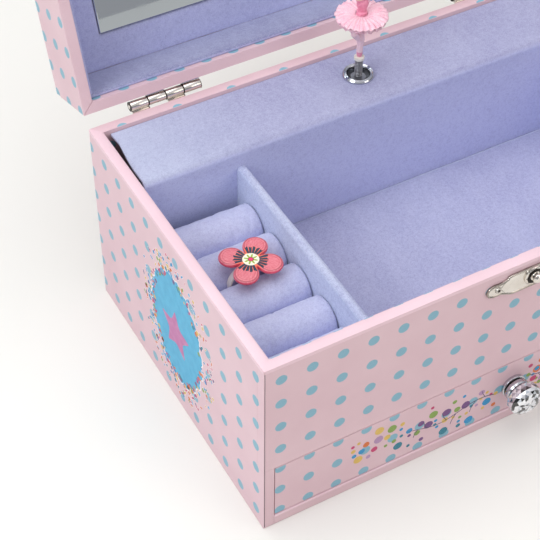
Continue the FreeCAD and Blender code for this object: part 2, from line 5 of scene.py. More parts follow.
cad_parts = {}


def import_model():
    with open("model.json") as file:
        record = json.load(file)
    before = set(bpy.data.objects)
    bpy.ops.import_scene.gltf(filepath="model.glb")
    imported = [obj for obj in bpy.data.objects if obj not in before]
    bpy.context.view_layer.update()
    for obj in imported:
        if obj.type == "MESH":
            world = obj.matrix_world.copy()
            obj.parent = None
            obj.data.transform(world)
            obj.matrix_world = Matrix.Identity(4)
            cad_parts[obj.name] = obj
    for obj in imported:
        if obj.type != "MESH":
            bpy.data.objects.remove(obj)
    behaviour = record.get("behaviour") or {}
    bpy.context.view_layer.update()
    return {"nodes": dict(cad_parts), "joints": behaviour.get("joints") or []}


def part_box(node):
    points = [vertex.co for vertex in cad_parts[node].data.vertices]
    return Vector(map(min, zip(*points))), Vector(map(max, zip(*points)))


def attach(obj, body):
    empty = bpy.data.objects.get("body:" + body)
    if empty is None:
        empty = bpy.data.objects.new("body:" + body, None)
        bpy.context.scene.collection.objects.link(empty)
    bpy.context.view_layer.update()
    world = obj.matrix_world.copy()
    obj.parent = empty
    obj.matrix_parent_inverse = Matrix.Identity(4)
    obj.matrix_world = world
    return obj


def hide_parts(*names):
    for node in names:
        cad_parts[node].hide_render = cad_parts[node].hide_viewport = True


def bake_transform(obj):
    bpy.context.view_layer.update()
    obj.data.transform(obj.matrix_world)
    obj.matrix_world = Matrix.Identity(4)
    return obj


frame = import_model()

NODES = frame["nodes"]
MM = 0.001
SC = bpy.context.scene

# ------------------------------------------------------------------ sizes read from the frame (mm)
def bx(n):
    lo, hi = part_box(n)
    return [c * 1000 for c in lo], [c * 1000 for c in hi]

(cx0, cy0, cz0), (_, _, _) = bx("left_wall")
HW, HD = -cx0, bx("back_wall")[1][1]          # half width and half depth
H = bx("back_wall")[1][2]
T = bx("left_wall")[1][0] - bx("left_wall")[0][0]
HINGE = None
for j in frame["joints"]:
    if j["name"] == "lid_hinge":
        HINGE = [c * 1000 for c in j["pos_m"]]
        OPEN = j["range_deg"][1]
R_OPEN = Matrix.Rotation(radians(-OPEN), 4, "X")


def at_open(me):
    """closed-lid coordinates to the open rest position (metres)"""
    h = Matrix.Translation(Vector(HINGE) * MM)
    me.transform(h @ R_OPEN @ h.inverted())


def srgb(r, g, b, a=1.0):
    f = lambda c: ((c / 255 + 0.055) / 1.055) ** 2.4 if c > 10.31 else c / 255 / 12.92
    return (f(r), f(g), f(b), a)


# ------------------------------------------------------------------ shader helper
class G:
    def __init__(s, name):
        s.mat = bpy.data.materials.new(name)
        s.mat.use_nodes = True
        s.t = s.mat.node_tree
        s.t.nodes.clear()
        s.out = s.t.nodes.new("ShaderNodeOutputMaterial")
        s.b = s.t.nodes.new("ShaderNodeBsdfPrincipled")
        s.t.links.new(s.b.outputs[0], s.out.inputs[0])

    def put(s, sock, val):
        if isinstance(val, bpy.types.NodeSocket):
            s.t.links.new(val, sock)
        elif val is not None:
            sock.default_value = val

    def n(s, kind, **kw):
        nd = s.t.nodes.new(kind)
        for k, v in kw.items():
            setattr(nd, k, v)
        return nd

    def m(s, op, a, b=None, c=None, clamp=False):
        nd = s.n("ShaderNodeMath", operation=op, use_clamp=clamp)
        s.put(nd.inputs[0], a)
        if b is not None:
            s.put(nd.inputs[1], b)
        if c is not None:
            s.put(nd.inputs[2], c)
        return nd.outputs[0]

    def v(s, op, a, b=None, scale=None):
        nd = s.n("ShaderNodeVectorMath", operation=op)
        s.put(nd.inputs[0], a)
        if b is not None:
            s.put(nd.inputs[1], b)
        if scale is not None:
            s.put(nd.inputs["Scale"], scale)
        return nd.outputs["Value"] if op in ("LENGTH", "DISTANCE", "DOT_PRODUCT") else nd.outputs[0]

    def sep(s, a):
        nd = s.n("ShaderNodeSeparateXYZ")
        s.put(nd.inputs[0], a)
        return nd.outputs

    def comb(s, x, y, z):
        nd = s.n("ShaderNodeCombineXYZ")
        for i, q in enumerate((x, y, z)):
            s.put(nd.inputs[i], q)
        return nd.outputs[0]

    def mix(s, f, a, b, blend="MIX"):
        nd = s.n("ShaderNodeMix", data_type="RGBA", blend_type=blend)
        s.put(nd.inputs[0], f)
        s.put(nd.inputs[6], a)
        s.put(nd.inputs[7], b)
        return nd.outputs[2]

    def step(s, x, e0, e1):
        """smooth 0..1 as x goes e0..e1"""
        nd = s.n("ShaderNodeMapRange", interpolation_type="SMOOTHSTEP")
        s.put(nd.inputs[0], x)
        nd.inputs[1].default_value = e0
        nd.inputs[2].default_value = e1
        nd.inputs[3].default_value = 0.0
        nd.inputs[4].default_value = 1.0
        return nd.outputs[0]

    def lin(s, x, a0, a1, b0, b1, clamp=True):
        nd = s.n("ShaderNodeMapRange", clamp=clamp)
        s.put(nd.inputs[0], x)
        for i, q in enumerate((a0, a1, b0, b1)):
            s.put(nd.inputs[i + 1], q)
        return nd.outputs[0]

    def noise(s, vec, scale, detail=2.0, rough=0.5, dist=0.0):
        nd = s.n("ShaderNodeTexNoise")
        s.put(nd.inputs["Vector"], vec)
        nd.inputs["Scale"].default_value = scale
        nd.inputs["Detail"].default_value = detail
        nd.inputs["Roughness"].default_value = rough
        nd.inputs["Distortion"].default_value = dist
        return nd.outputs[0]

    def pos(s):
        return s.n("ShaderNodeTexCoord").outputs["Object"]

    def nrm(s):
        return s.n("ShaderNodeTexCoord").outputs["Normal"]

    def bump(s, h, strength, dist, prev=None):
        nd = s.n("ShaderNodeBump")
        nd.inputs["Strength"].default_value = strength
        nd.inputs["Distance"].default_value = dist
        s.put(nd.inputs["Height"], h)
        if prev is not None:
            s.put(nd.inputs["Normal"], prev)
        return nd.outputs[0]

    def set(s, **kw):
        names = {"color": "Base Color", "rough": "Roughness", "metal": "Metallic", "normal": "Normal", "spec": "Specular IOR Level",
                 "sheen": "Sheen Weight", "sheen_rough": "Sheen Roughness", "sheen_tint": "Sheen Tint", "coat": "Coat Weight", "coat_rough": "Coat Roughness",
                 "trans": "Transmission Weight", "ior": "IOR", "alpha": "Alpha", "sss": "Subsurface Weight", "sss_r": "Subsurface Radius", "sss_s": "Subsurface Scale"}
        for k, val in kw.items():
            s.put(s.b.inputs[names[k]], val)
        return s.mat


def lid_space(g, vec, is_normal=False):
    nd = g.n("ShaderNodeVectorRotate", rotation_type="X_AXIS")
    g.put(nd.inputs["Vector"], vec)
    nd.inputs["Center"].default_value = (0, 0, 0) if is_normal else tuple(c * MM for c in HINGE)
    nd.inputs["Angle"].default_value = radians(OPEN)
    return nd.outputs[0]


PINK = srgb(240, 202, 210)
PINK2 = srgb(246, 212, 219)
DOT = srgb(139, 193, 214)


# ------------------------------------------------------------------ papered board
def paper(name, lid=False, dots=True, plain_top=None, off=None, pitch=(13.24, 13.65)):
    """pink paper with round dots in a square grid on every outer face"""
    g = G(name)
    P, Nn = g.pos(), g.nrm()
    if lid:
        P, Nn = lid_space(g, P), lid_space(g, Nn, True)
    x, y, z = g.sep(P)
    x, y, z = [g.m("MULTIPLY", q, 1000.0) for q in (x, y, z)]
    nx, ny, nz = [g.m("ABSOLUTE", q) for q in g.sep(Nn)]
    isx = g.m("GREATER_THAN", nx, 0.70)
    isz = g.m("GREATER_THAN", nz, 0.70)
    lerp = lambda f, a, b: g.m("ADD", g.m("MULTIPLY", f, b), g.m("MULTIPLY", g.m("SUBTRACT", 1.0, f), a))
    off = off or {}
    ux0, uy0, v0 = off.get("x", -112.65), off.get("y", -70.3), off.get("z", 89.9)
    vy0 = off.get("vy", -70.3)
    u = lerp(isx, g.m("SUBTRACT", x, ux0), g.m("SUBTRACT", y, uy0))
    w = lerp(isz, g.m("SUBTRACT", z, v0), g.m("SUBTRACT", y, vy0))
    # a hand-hung paper is never dead straight: a slow wander of a few tenths of a millimetre
    wob = g.m("MULTIPLY", g.m("SUBTRACT", g.noise(P, 9.0, 1.0), 0.5), 0.7)
    u, w = g.m("ADD", u, wob), g.m("SUBTRACT", w, wob)
    cell = lambda q, p: g.m("MULTIPLY", g.m("SUBTRACT", g.m("FRACT", g.m("ADD", g.m("DIVIDE", q, p), 100.5)), 0.5), p)
    du, dw = cell(u, pitch[0]), cell(w, pitch[1])
    d = g.m("SQRT", g.m("ADD", g.m("MULTIPLY", du, du), g.m("MULTIPLY", dw, dw)))
    d = g.m("ADD", d, g.m("MULTIPLY", g.m("SUBTRACT", g.noise(P, 900.0, 2.0), 0.5), 0.22))
    mask = g.m("SUBTRACT", 1.0, g.step(d, 2.32, 2.62))
    cloud = g.noise(P, 38.0, 3.0, 0.55)
    fibre = g.noise(P, 2600.0, 3.0, 0.6)
    base = g.mix(g.lin(cloud, 0.3, 0.7, 0.0, 1.0), srgb(219, 186, 193), srgb(225, 194, 200))
    base = g.mix(g.lin(fibre, 0.35, 0.65, 0.0, 0.10), base, srgb(205, 168, 180))
    ink = g.mix(g.lin(fibre, 0.3, 0.7, 0.0, 1.0), srgb(126, 172, 190), srgb(140, 183, 200))
    col = g.mix(mask, base, ink) if dots else base
    rough = g.lin(fibre, 0.3, 0.7, 0.42, 0.56)
    h = g.m("ADD", g.m("MULTIPLY", fibre, 0.6), g.m("MULTIPLY", g.noise(P, 420.0, 2.0), 0.4))
    nrm = g.bump(h, 0.10, 0.00005)
    return g.set(color=col, rough=rough, normal=nrm, spec=0.35)


M_PAPER = paper("paper_case")
M_PAPER_SIDE = paper("paper_side", off={"z": 89.4})
M_PAPER_LID = paper("paper_lid", lid=True, off={"z": 102.6, "x": -112.65})
M_PAPER_DRAWER = paper("paper_drawer", off={"z": 36.3}, pitch=(13.24, 13.7))
M_PAPER_PLAIN = paper("paper_plain", dots=False)
M_PAPER_BACK = paper("paper_back_rim", off={"x": -80.5, "vy": 71.0}, pitch=(26.2, 13.65))


def rim_paper():
    g = G("paper_rim")
    P = g.pos()
    fibre = g.noise(P, 2400.0, 3.0, 0.6)
    cloud = g.noise(P, 45.0, 2.0)
    base = g.mix(g.lin(cloud, 0.3, 0.7, 0.0, 1.0), srgb(229, 197, 205), srgb(234, 204, 212))
    base = g.mix(g.lin(fibre, 0.4, 0.7, 0.0, 0.12), base, srgb(214, 176, 188))
    return g.set(color=base, rough=g.lin(fibre, 0.3, 0.7, 0.38, 0.5), normal=g.bump(fibre, 0.08, 0.00005), spec=0.4)


M_RIM = rim_paper()


def velour(name, light, dark, grain=1.0, upright_painted_light_col=srgb(192, 196, 242), painted_side_light=False):
    """flocked cloth: mottled nap, fine speckle, soft sheen; upright faces are painted paler, a painted light"""
    g = G(name)
    P = g.pos()
    nap = g.noise(P, 45.0, 3.0, 0.5, 0.4)
    x_mm = g.m("MULTIPLY", g.sep(P)[0], 1000.0)
    brushed = g.noise(g.v("MULTIPLY", P, (1.0, 0.35, 1.0)), 240.0, 2.0, 0.5, 0.3)
    speck = g.noise(P, 1900.0, 2.0, 0.7)
    pile = g.noise(P, 5200.0, 2.0, 0.6)
    c = g.mix(g.lin(nap, 0.30, 0.70, 0.0, 1.0), dark, light)
    c = g.mix(g.lin(g.noise(P, 11.0, 2.0), 0.42, 0.66, 0.0, 0.22), c, srgb(194, 200, 222))
    if painted_side_light:
        # painted light: the left end painted paler where the lamp from the left falls, and the right end painted darker
        # as shade
        stir = g.m("MULTIPLY", g.m("SUBTRACT", g.noise(P, 26.0, 2.0), 0.5), 24.0)
        c = g.mix(g.lin(g.m("ADD", x_mm, stir), -118.0, -45.0, 0.56, 0.0), c, srgb(198, 208, 226))
        c = g.mix(g.lin(g.m("ADD", x_mm, stir), -30.0, 70.0, 0.0, 0.12), c, srgb(138, 136, 178))
    c = g.mix(g.lin(brushed, 0.40, 0.72, 0.0, 0.16), c, srgb(196, 198, 222))
    # painted light: upright faces get a paler colour mixed in, standing in for the light they catch
    up = g.m("ABSOLUTE", g.sep(g.nrm())[2])
    upright_painted_light = g.m("SUBTRACT", 1.0, g.step(up, 0.25, 0.85))
    c = g.mix(g.m("MULTIPLY", upright_painted_light, 0.6), c, upright_painted_light_col)
    tuft = g.noise(P, 620.0, 2.0, 0.6)
    c = g.mix(g.lin(tuft, 0.45, 0.75, 0.0, 0.20 * grain), c, srgb(206, 212, 232))
    c = g.mix(g.lin(tuft, 0.50, 0.25, 0.0, 0.22 * grain), c, srgb(134, 130, 172))
    c = g.mix(g.lin(speck, 0.40, 0.75, 0.0, 0.34 * grain), c, srgb(208, 210, 230))
    c = g.mix(g.lin(speck, 0.52, 0.25, 0.0, 0.28 * grain), c, srgb(128, 127, 166))
    h = g.m("ADD", g.m("MULTIPLY", speck, 0.65), g.m("MULTIPLY", pile, 0.35))
    nrm = g.bump(h, 0.42, 0.00022)
    nrm = g.bump(brushed, 0.18, 0.0005, nrm)
    g.set(sheen=0.7, sheen_rough=0.5, sheen_tint=srgb(222, 226, 244))
    return g.set(color=c, rough=0.95, normal=nrm, spec=0.12)


# velour() paints upright faces paler as painted light; the colour given after the grain sets it
M_VEL = velour("velour_lining", srgb(168, 168, 199), srgb(158, 158, 192))
M_VEL_PAD = velour("velour_pad", srgb(187, 188, 217), srgb(176, 178, 209), 1.0, srgb(190, 193, 234))
M_VEL_DIV = velour("velour_divider", srgb(176, 182, 206), srgb(164, 170, 200), 1.6, srgb(196, 208, 232))
M_VEL_LID = velour("velour_lid", srgb(124, 124, 163), srgb(116, 115, 155))
# painted light: True paints the platform's left end paler and its right end darker
M_VEL_PLAT = velour("velour_platform", srgb(158, 157, 190), srgb(148, 147, 183), 1.0, srgb(210, 214, 252), True)


def metal(name, col, rough=0.2, scratch=1.0, warm=None, bare=1.0):
    g = G(name)
    P = g.pos()
    fine = g.noise(g.v("MULTIPLY", P, (1.0, 6.0, 6.0)), 700.0, 3.0, 0.6)
    cloud = g.noise(P, 160.0, 3.0, 0.55)
    c = g.mix(g.lin(cloud, 0.3, 0.75, 0.0, 1.0), col, warm or tuple(q * 0.88 for q in col[:3]) + (1.0,))
    r = g.m("ADD", g.lin(fine, 0.3, 0.7, rough * 0.75, rough * 1.3), g.lin(cloud, 0.4, 0.8, 0.0, 0.08 * scratch))
    return g.set(color=c, metal=bare, rough=r, normal=g.bump(fine, 0.05 * scratch, 0.00004))


M_NICKEL = metal("nickel", srgb(228, 223, 216), 0.16, 0.45, srgb(212, 205, 196))
M_NAIL = metal("nickel_nail", srgb(204, 199, 192), 0.25, 0.6, srgb(176, 170, 162))
# painted shade: a near-black nickel laid in recesses and gaps
M_RECESS_SHADE = metal("nickel_painted_shade", srgb(58, 53, 49), 0.4, 0.8, srgb(34, 31, 30))
M_RING = metal("ring_metal", srgb(252, 244, 230), 0.36, 0.8, srgb(238, 226, 206), 0.1)
M_CHROME = metal("chrome", srgb(206, 208, 214), 0.10, 0.6)
M_STEEL = metal("steel", srgb(168, 168, 172), 0.34, 1.5)
M_ZINC = metal("cast_zinc", srgb(160, 161, 164), 0.5, 2.0)
M_BRASS = metal("brass", srgb(212, 172, 96), 0.25, 1.2, srgb(184, 142, 74))


def plastic(name, c0, c1, rough=0.4, sss=0.0):
    g = G(name)
    P = g.pos()
    cl = g.noise(P, 220.0, 2.0)
    f = g.noise(P, 2200.0, 2.0)
    return g.set(color=g.mix(g.lin(cl, 0.3, 0.7, 0.0, 1.0), c0, c1), rough=g.lin(f, 0.3, 0.7, rough * 0.85, rough * 1.15), normal=g.bump(f, 0.06, 0.00006), sss=sss)


M_NYLON = plastic("nylon", srgb(236, 232, 220), srgb(226, 221, 206), 0.45)


def board():
    g = G("raw_board")
    P = g.pos()
    f = g.noise(g.v("MULTIPLY", P, (1.0, 1.0, 3.0)), 900.0, 4.0, 0.65)
    cl = g.noise(P, 70.0, 2.0)
    c = g.mix(g.lin(f, 0.3, 0.7, 0.0, 1.0), srgb(188, 160, 128), srgb(206, 182, 150))
    c = g.mix(g.lin(cl, 0.4, 0.8, 0.0, 0.4), c, srgb(170, 140, 108))
    return g.set(color=c, rough=0.85, normal=g.bump(f, 0.3, 0.00015))


M_BOARD = board()


def mirror_mat():
    g = G("mirror_glass")
    P = g.pos()
    sm = g.noise(P, 30.0, 3.0, 0.6)
    return g.set(color=srgb(222, 228, 232), metal=1.0, rough=g.lin(sm, 0.45, 0.8, 0.015, 0.06))


M_MIRROR = mirror_mat()


# ------------------------------------------------------------------ mesh helpers (mm in, metres out)
def obj(name, verts, faces, mats, smooth=True, angle=None):
    me = bpy.data.meshes.new(name)
    me.from_pydata([Vector(v) * MM for v in verts], [], faces)
    me.validate()
    bm = bmesh.new()
    bm.from_mesh(me)
    bmesh.ops.recalc_face_normals(bm, faces=bm.faces)
    bm.to_mesh(me)
    bm.free()
    o = bpy.data.objects.new(name, me)
    SC.collection.objects.link(o)
    for m_ in (mats if isinstance(mats, (list, tuple)) else [mats]):
        me.materials.append(m_)
    me.polygons.foreach_set("use_smooth", [bool(smooth)] * len(me.polygons))
    if angle is not None:
        sharp_by_angle(me, angle)
    return o


def sharp_by_angle(me, deg):
    bm = bmesh.new()
    bm.from_mesh(me)
    for e in bm.edges:
        e.smooth = not (len(e.link_faces) == 2 and e.calc_face_angle(0) > radians(deg))
    bm.to_mesh(me)
    bm.free()


def apply_mods(o):
    dg = bpy.context.evaluated_depsgraph_get()
    me = bpy.data.meshes.new_from_object(o.evaluated_get(dg), depsgraph=dg)
    o.modifiers.clear()
    old = o.data
    o.data = me
    return o


def rounded_box(name, x0, x1, y0, y1, z0, z1, r, mat, nx=8, ny=8, nz=4, wob=0.0, seed=0, segs=3):
    """board with rounded edges, enough faces to carry a slow surface wave"""
    bm = bmesh.new()
    bmesh.ops.create_cube(bm, size=1.0)
    for v in bm.verts:
        v.co = Vector(((x0 + x1) / 2 + v.co.x * (x1 - x0), (y0 + y1) / 2 + v.co.y * (y1 - y0), (z0 + z1) / 2 + v.co.z * (z1 - z0)))
    bmesh.ops.bevel(bm, geom=list(bm.edges), offset=r, offset_type="OFFSET", segments=segs, profile=0.6, affect="EDGES")
    for ax, n_, lo, hi in ((0, nx, x0, x1), (1, ny, y0, y1), (2, nz, z0, z1)):
        for k in range(1, n_):
            q = lo + (hi - lo) * k / n_
            pt = Vector((0, 0, 0)); pt[ax] = q
            nn = Vector((0, 0, 0)); nn[ax] = 1
            bmesh.ops.bisect_plane(bm, geom=list(bm.verts) + list(bm.edges) + list(bm.faces), plane_co=pt, plane_no=nn)
    if wob:
        for v in bm.verts:
            n3 = noise.noise_vector(v.co * 0.035 + Vector((seed, seed * 2, 0))) * wob + noise.noise_vector(v.co * 0.12 + Vector((0, seed, seed))) * wob * 0.35
            v.co += n3
    for v in bm.verts:
        v.co *= MM
    me = bpy.data.meshes.new(name)
    bmesh.ops.recalc_face_normals(bm, faces=bm.faces)
    bm.to_mesh(me)
    bm.free()
    o = bpy.data.objects.new(name, me)
    SC.collection.objects.link(o)
    me.materials.append(mat)
    me.polygons.foreach_set("use_smooth", [True] * len(me.polygons))
    sharp_by_angle(me, 40)
    return o


def loft(name, rings, mats, closed=True, caps=True, smooth=True, angle=None, wrap=True):
    """rings of equal length joined into a tube"""
    n_ = len(rings[0])
    verts = [p for r in rings for p in r]
    faces = []
    for i in range(len(rings) - 1 + (0 if caps or not closed else 0)):
        for k in range(n_ if wrap else n_ - 1):
            k1 = (k + 1) % n_
            faces.append((i * n_ + k, i * n_ + k1, (i + 1) * n_ + k1, (i + 1) * n_ + k))
    if caps:
        for base, rev in ((0, True), ((len(rings) - 1) * n_, False)):
            c = [sum(verts[base + k][a] for k in range(n_)) / n_ for a in range(3)]
            verts.append(tuple(c))
            ci = len(verts) - 1
            for k in range(n_):
                k1 = (k + 1) % n_
                faces.append((base + k1, base + k, ci) if rev else (base + k, base + k1, ci))
    return obj(name, verts, faces, mats, smooth, angle)


def lathe(name, prof, centre, axis, mats, segs=64, angle=35):
    """profile of (radius, height) turned about an axis; ends on the axis are closed"""
    a = Vector(axis).normalized()
    u = a.orthogonal().normalized()
    w = a.cross(u)
    c = Vector(centre)
    verts, faces, idx = [], [], []
    for r, h in prof:
        if r < 1e-6:
            verts.append(c + a * h)
            idx.append([len(verts) - 1])
        else:
            row = []
            for k in range(segs):
                t = 2 * pi * k / segs
                verts.append(c + a * h + (u * cos(t) + w * sin(t)) * r)
                row.append(len(verts) - 1)
            idx.append(row)
    for i in range(len(idx) - 1):
        A, B = idx[i], idx[i + 1]
        for k in range(segs):
            k1 = (k + 1) % segs
            if len(A) == 1 and len(B) == 1:
                continue
            if len(A) == 1:
                faces.append((A[0], B[k], B[k1]))
            elif len(B) == 1:
                faces.append((A[k], A[k1], B[0]))
            else:
                faces.append((A[k], A[k1], B[k1], B[k]))
    return obj(name, verts, faces, mats, True, angle)


def grab(name, body, *nodes, slot=None):
    o = name
    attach(o, body)
    if nodes:
        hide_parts(*nodes)
    return o

# ------------------------------------------------------------------ camera, floor, light
cam_data = bpy.data.cameras.new("camera")
cam = bpy.data.objects.new("camera", cam_data)
SC.collection.objects.link(cam)
SC.camera = cam
right = Vector((0.874032, -0.485847, 0.004561))
down = Vector((-0.345913, -0.628830, -0.696360))
fwd = Vector((0.341193, 0.607063, -0.717679))
M = Matrix((right, -down, -fwd)).transposed().to_4x4()
M.translation = Vector((-0.290002, -0.382946, 0.512445))
cam.matrix_world = M
cam_data.sensor_width = 36.0
cam_data.lens = 1505.266 / 540 * 36.0
cam_data.clip_start, cam_data.clip_end = 0.02, 20.0

fm = G("floor_pale")
fm.set(color=srgb(235, 234, 228), rough=0.6, spec=0.2)
bpy.ops.mesh.primitive_plane_add(size=12, location=(0, 0, 0))
floor = bpy.context.object
floor.name = "floor"
floor.data.materials.append(fm.mat)

world = bpy.data.worlds.new("studio")
SC.world = world
world.use_nodes = True
wt = world.node_tree
bg = wt.nodes["Background"]
tc = wt.nodes.new("ShaderNodeTexCoord")
sx_ = wt.nodes.new("ShaderNodeSeparateXYZ")
wt.links.new(tc.outputs["Generated"], sx_.inputs[0])
rp = wt.nodes.new("ShaderNodeValToRGB")
wt.links.new(sx_.outputs[2], rp.inputs[0])
rp.color_ramp.elements[0].position = 0.0
rp.color_ramp.elements[0].color = (0.42, 0.42, 0.44, 1)
rp.color_ramp.elements[1].position = 0.75
rp.color_ramp.elements[1].color = (0.95, 0.96, 1.0, 1)
e = rp.color_ramp.elements.new(0.22)
e.color = (0.30, 0.30, 0.32, 1)
wt.links.new(rp.outputs[0], bg.inputs[0])
bg.inputs[1].default_value = 0.8


def area(name, loc, target, size, power, color=(1, 1, 1), size_y=None):
    d = bpy.data.lights.new(name, "AREA")
    d.energy, d.color, d.size = power, color, size
    if size_y:
        d.shape, d.size_y = "RECTANGLE", size_y
    o = bpy.data.objects.new(name, d)
    SC.collection.objects.link(o)
    o.location = loc
    o.rotation_euler = (Vector(target) - Vector(loc)).to_track_quat("-Z", "Y").to_euler()
    return o


area("top_soft", (-0.25, 0.25, 1.5), (0, 0, 0.05), 1.5, 11.5, (1.0, 0.985, 0.965))
area("left_cool", (-1.25, -0.30, 1.05), (0, 0, 0.05), 0.8, 9.5, (0.88, 0.94, 1.0))
area("front_warm", (0.9, -1.5, 0.9), (0, 0, 0.05), 0.9, 5.0, (1.0, 0.935, 0.87))
SC.view_settings.view_transform = "Standard"
SC.view_settings.look = "None"
SC.view_settings.exposure = 0.0
SC.view_settings.gamma = 1.0


# ------------------------------------------------------------------ boards that stay as CAD: softened edges and paper
def finish_node(n, mat, bev=0.35, seg=3, slots=None, angle=30):
    o = NODES[n]
    if bev:
        w = o.modifiers.new("weld", "WELD")
        w.merge_threshold = 1e-6
        b = o.modifiers.new("bevel", "BEVEL")
        b.width, b.segments, b.limit_method, b.angle_limit = bev * MM, seg, "ANGLE", radians(angle)
        b.harden_normals = False
        b.use_clamp_overlap = True
    o.data.materials.clear()
    o.data.materials.append(mat)
    return o


for n, m_ in (("left_wall", M_PAPER_SIDE), ("right_wall", M_PAPER_SIDE), ("back_wall", M_PAPER), ("front_panel", M_PAPER),
              ("base_board", M_PAPER_PLAIN), ("drawer_front", M_PAPER_DRAWER)):
    finish_node(n, m_, 0.45)
for n in ("lid_front_wall", "lid_back_wall", "lid_side_walls", "lid_board"):
    finish_node(n, M_PAPER_LID, 0.4)
for n in ("shelf", "drawer_sides", "drawer_back", "drawer_bottom"):
    finish_node(n, M_BOARD, 0.3, 2)
for n in ("hinge_case_leaves", "hinge_lid_leaves", "hinge_pins", "hinge_case_screws", "hinge_lid_screws",
          "clasp_stud", "hasp", "clasp_plate", "clasp_upper_plate", "hasp_pin"):
    finish_node(n, M_NICKEL, 0.18, 2)
for n in ("clasp_nails", "clasp_upper_nails"):
    finish_node(n, M_NAIL, 0.0)
for n in ("winding_key", "cup_ring", "knob_collar", "knob_crystal"):
    finish_node(n, M_CHROME, 0.12, 2)
for n in ("knob_screw", "movement_screws", "small_screws", "comb", "mainspring", "winding_arbor", "cylinder_arbor", "governor_bracket", "dancer_spring"):
    finish_node(n, M_STEEL, 0.0)
finish_node("ring_band", M_RING, 0.15, 2)
finish_node("movement_bedplate", M_ZINC, 0.3, 2)
for n in ("spring_housing", "great_wheel", "cylinder", "cylinder_gears"):
    finish_node(n, M_BRASS, 0.0)
for n in ("governor_wheel", "air_fly", "dancer_peg"):
    finish_node(n, M_NYLON, 0.0)
finish_node("mirror", M_MIRROR, 0.5, 2)
for n in ("floor_lining", "wall_linings", "platform_cover", "lid_lining", "drawer_lining"):
    finish_node(n, M_VEL, 0.3, 2)
for n in ("divider", "ring_rolls", "roll_riser"):
    finish_node(n, M_VEL_PAD, 0.0)
for n, c in (("ring_flower", (225, 80, 95)), ("dancer_figure", (240, 200, 180)), ("dancer_tutu", (245, 190, 205))):
    finish_node(n, plastic("plain_" + n, srgb(*c), srgb(*c)), 0.0)

# ------------------------------------------------------------------ paper turned over the rim of the case
def rim_strip():
    w, t, r = T, 0.14, 0.9
    def loop(inset, z, rad):
        pts = []
        for cx, cy, a0 in ((HW - inset, HD - inset, 0), (-HW + inset, HD - inset, 90), (-HW + inset, -HD + inset, 180), (HW - inset, -HD + inset, 270)):
            sx, sy = (1 if cx > 0 else -1), (1 if cy > 0 else -1)
            ox, oy = cx - sx * rad, cy - sy * rad
            for k in range(7):
                a = radians(a0 + 90 * k / 6)
                pts.append((ox + rad * cos(a), oy + rad * sin(a), z))
        return pts
    # section: down the outside, over the top, down the inside
    rings = [loop(-0.05, H - 1.6, 0.9), loop(-0.06, H - 0.5, 0.9), loop(0.08, H - 0.02, 0.85), loop(0.5, H + t, 0.7), loop(w * 0.5, H + t + 0.03, 0.6), loop(w - 0.5, H + t, 0.5), loop(w - 0.08, H - 0.1, 0.4), loop(w + 0.06, H - 0.8, 0.35), loop(w + 0.06, H - 4.2, 0.35),
             loop(w - 0.2, H - 4.2, 0.4), loop(w - 0.2, H - 0.5, 0.45), loop(0.2, H - 0.5, 0.8), loop(0.2, H - 1.6, 0.8)]
    rings.append(rings[0])
    n_ = len(rings[0])
    verts = [p for r_ in rings[:-1] for p in r_]
    faces = []
    m_ = len(rings) - 1
    for i in range(m_):
        j = (i + 1) % m_
        for k in range(n_):
            k1 = (k + 1) % n_
            faces.append((i * n_ + k, i * n_ + k1, j * n_ + k1, j * n_ + k))
    o = obj("rim_paper", verts, faces, [M_RIM, M_PAPER_BACK], True, 50)
    # the back rim shows the dotted sheet, mitred at its corners
    for p in o.data.polygons:
        c = p.center * 1000.0
        if c.y > HD - T - 0.3 and HW - abs(c.x) > HD - c.y:
            p.material_index = 1
    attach(o, "case")
    return o


rim_strip()


def base_edge():
    (x0, y0, z0), (x1, y1, z1) = bx("base_board")
    o = rounded_box("base_edge_paper", x0 + 0.1, x1 - 0.1, -HD - 0.42, -HD + 1.2, z1 - 1.15, z1 + 0.03, 0.4, M_RIM, 90, 2, 2)
    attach(o, "case")


base_edge()


# ------------------------------------------------------------------ velour pieces
def nz(x, y, z, s, seed=0.0):
    return noise.noise(Vector((x * s + seed, y * s - seed, z * s + 0.37 * seed)))


def floor_velour():
    (x0, y0, z0), (x1, y1, z1) = bx("floor_lining")
    nx_, ny_ = 150, 70
    verts, faces = [], []
    for j_ in range(ny_ + 1):
        for i in range(nx_ + 1):
            x = x0 + 0.15 + (x1 - x0 - 0.3) * i / nx_
            y = y0 + 0.15 + (y1 - y0 - 0.3) * j_ / ny_
            e = min(x - x0, x1 - x, y - y0, y1 - y)
            z = z1 - 0.9 * math.exp(-e / 0.9) + 0.16 * nz(x, y, 0, 0.05, 3) + 0.05 * nz(x, y, 0, 0.2, 9)
            verts.append((x, y, z))
    for j_ in range(ny_):
        for i in range(nx_):
            a = j_ * (nx_ + 1) + i
            faces.append((a, a + 1, a + nx_ + 2, a + nx_ + 1))
    o = obj("floor_velour", verts, faces, M_VEL)
    s = o.modifiers.new("s", "SOLIDIFY")
    s.thickness, s.offset = 1.2 * MM, -1.0
    apply_mods(o)
    return grab(o, "case", "floor_lining", slot="velour")


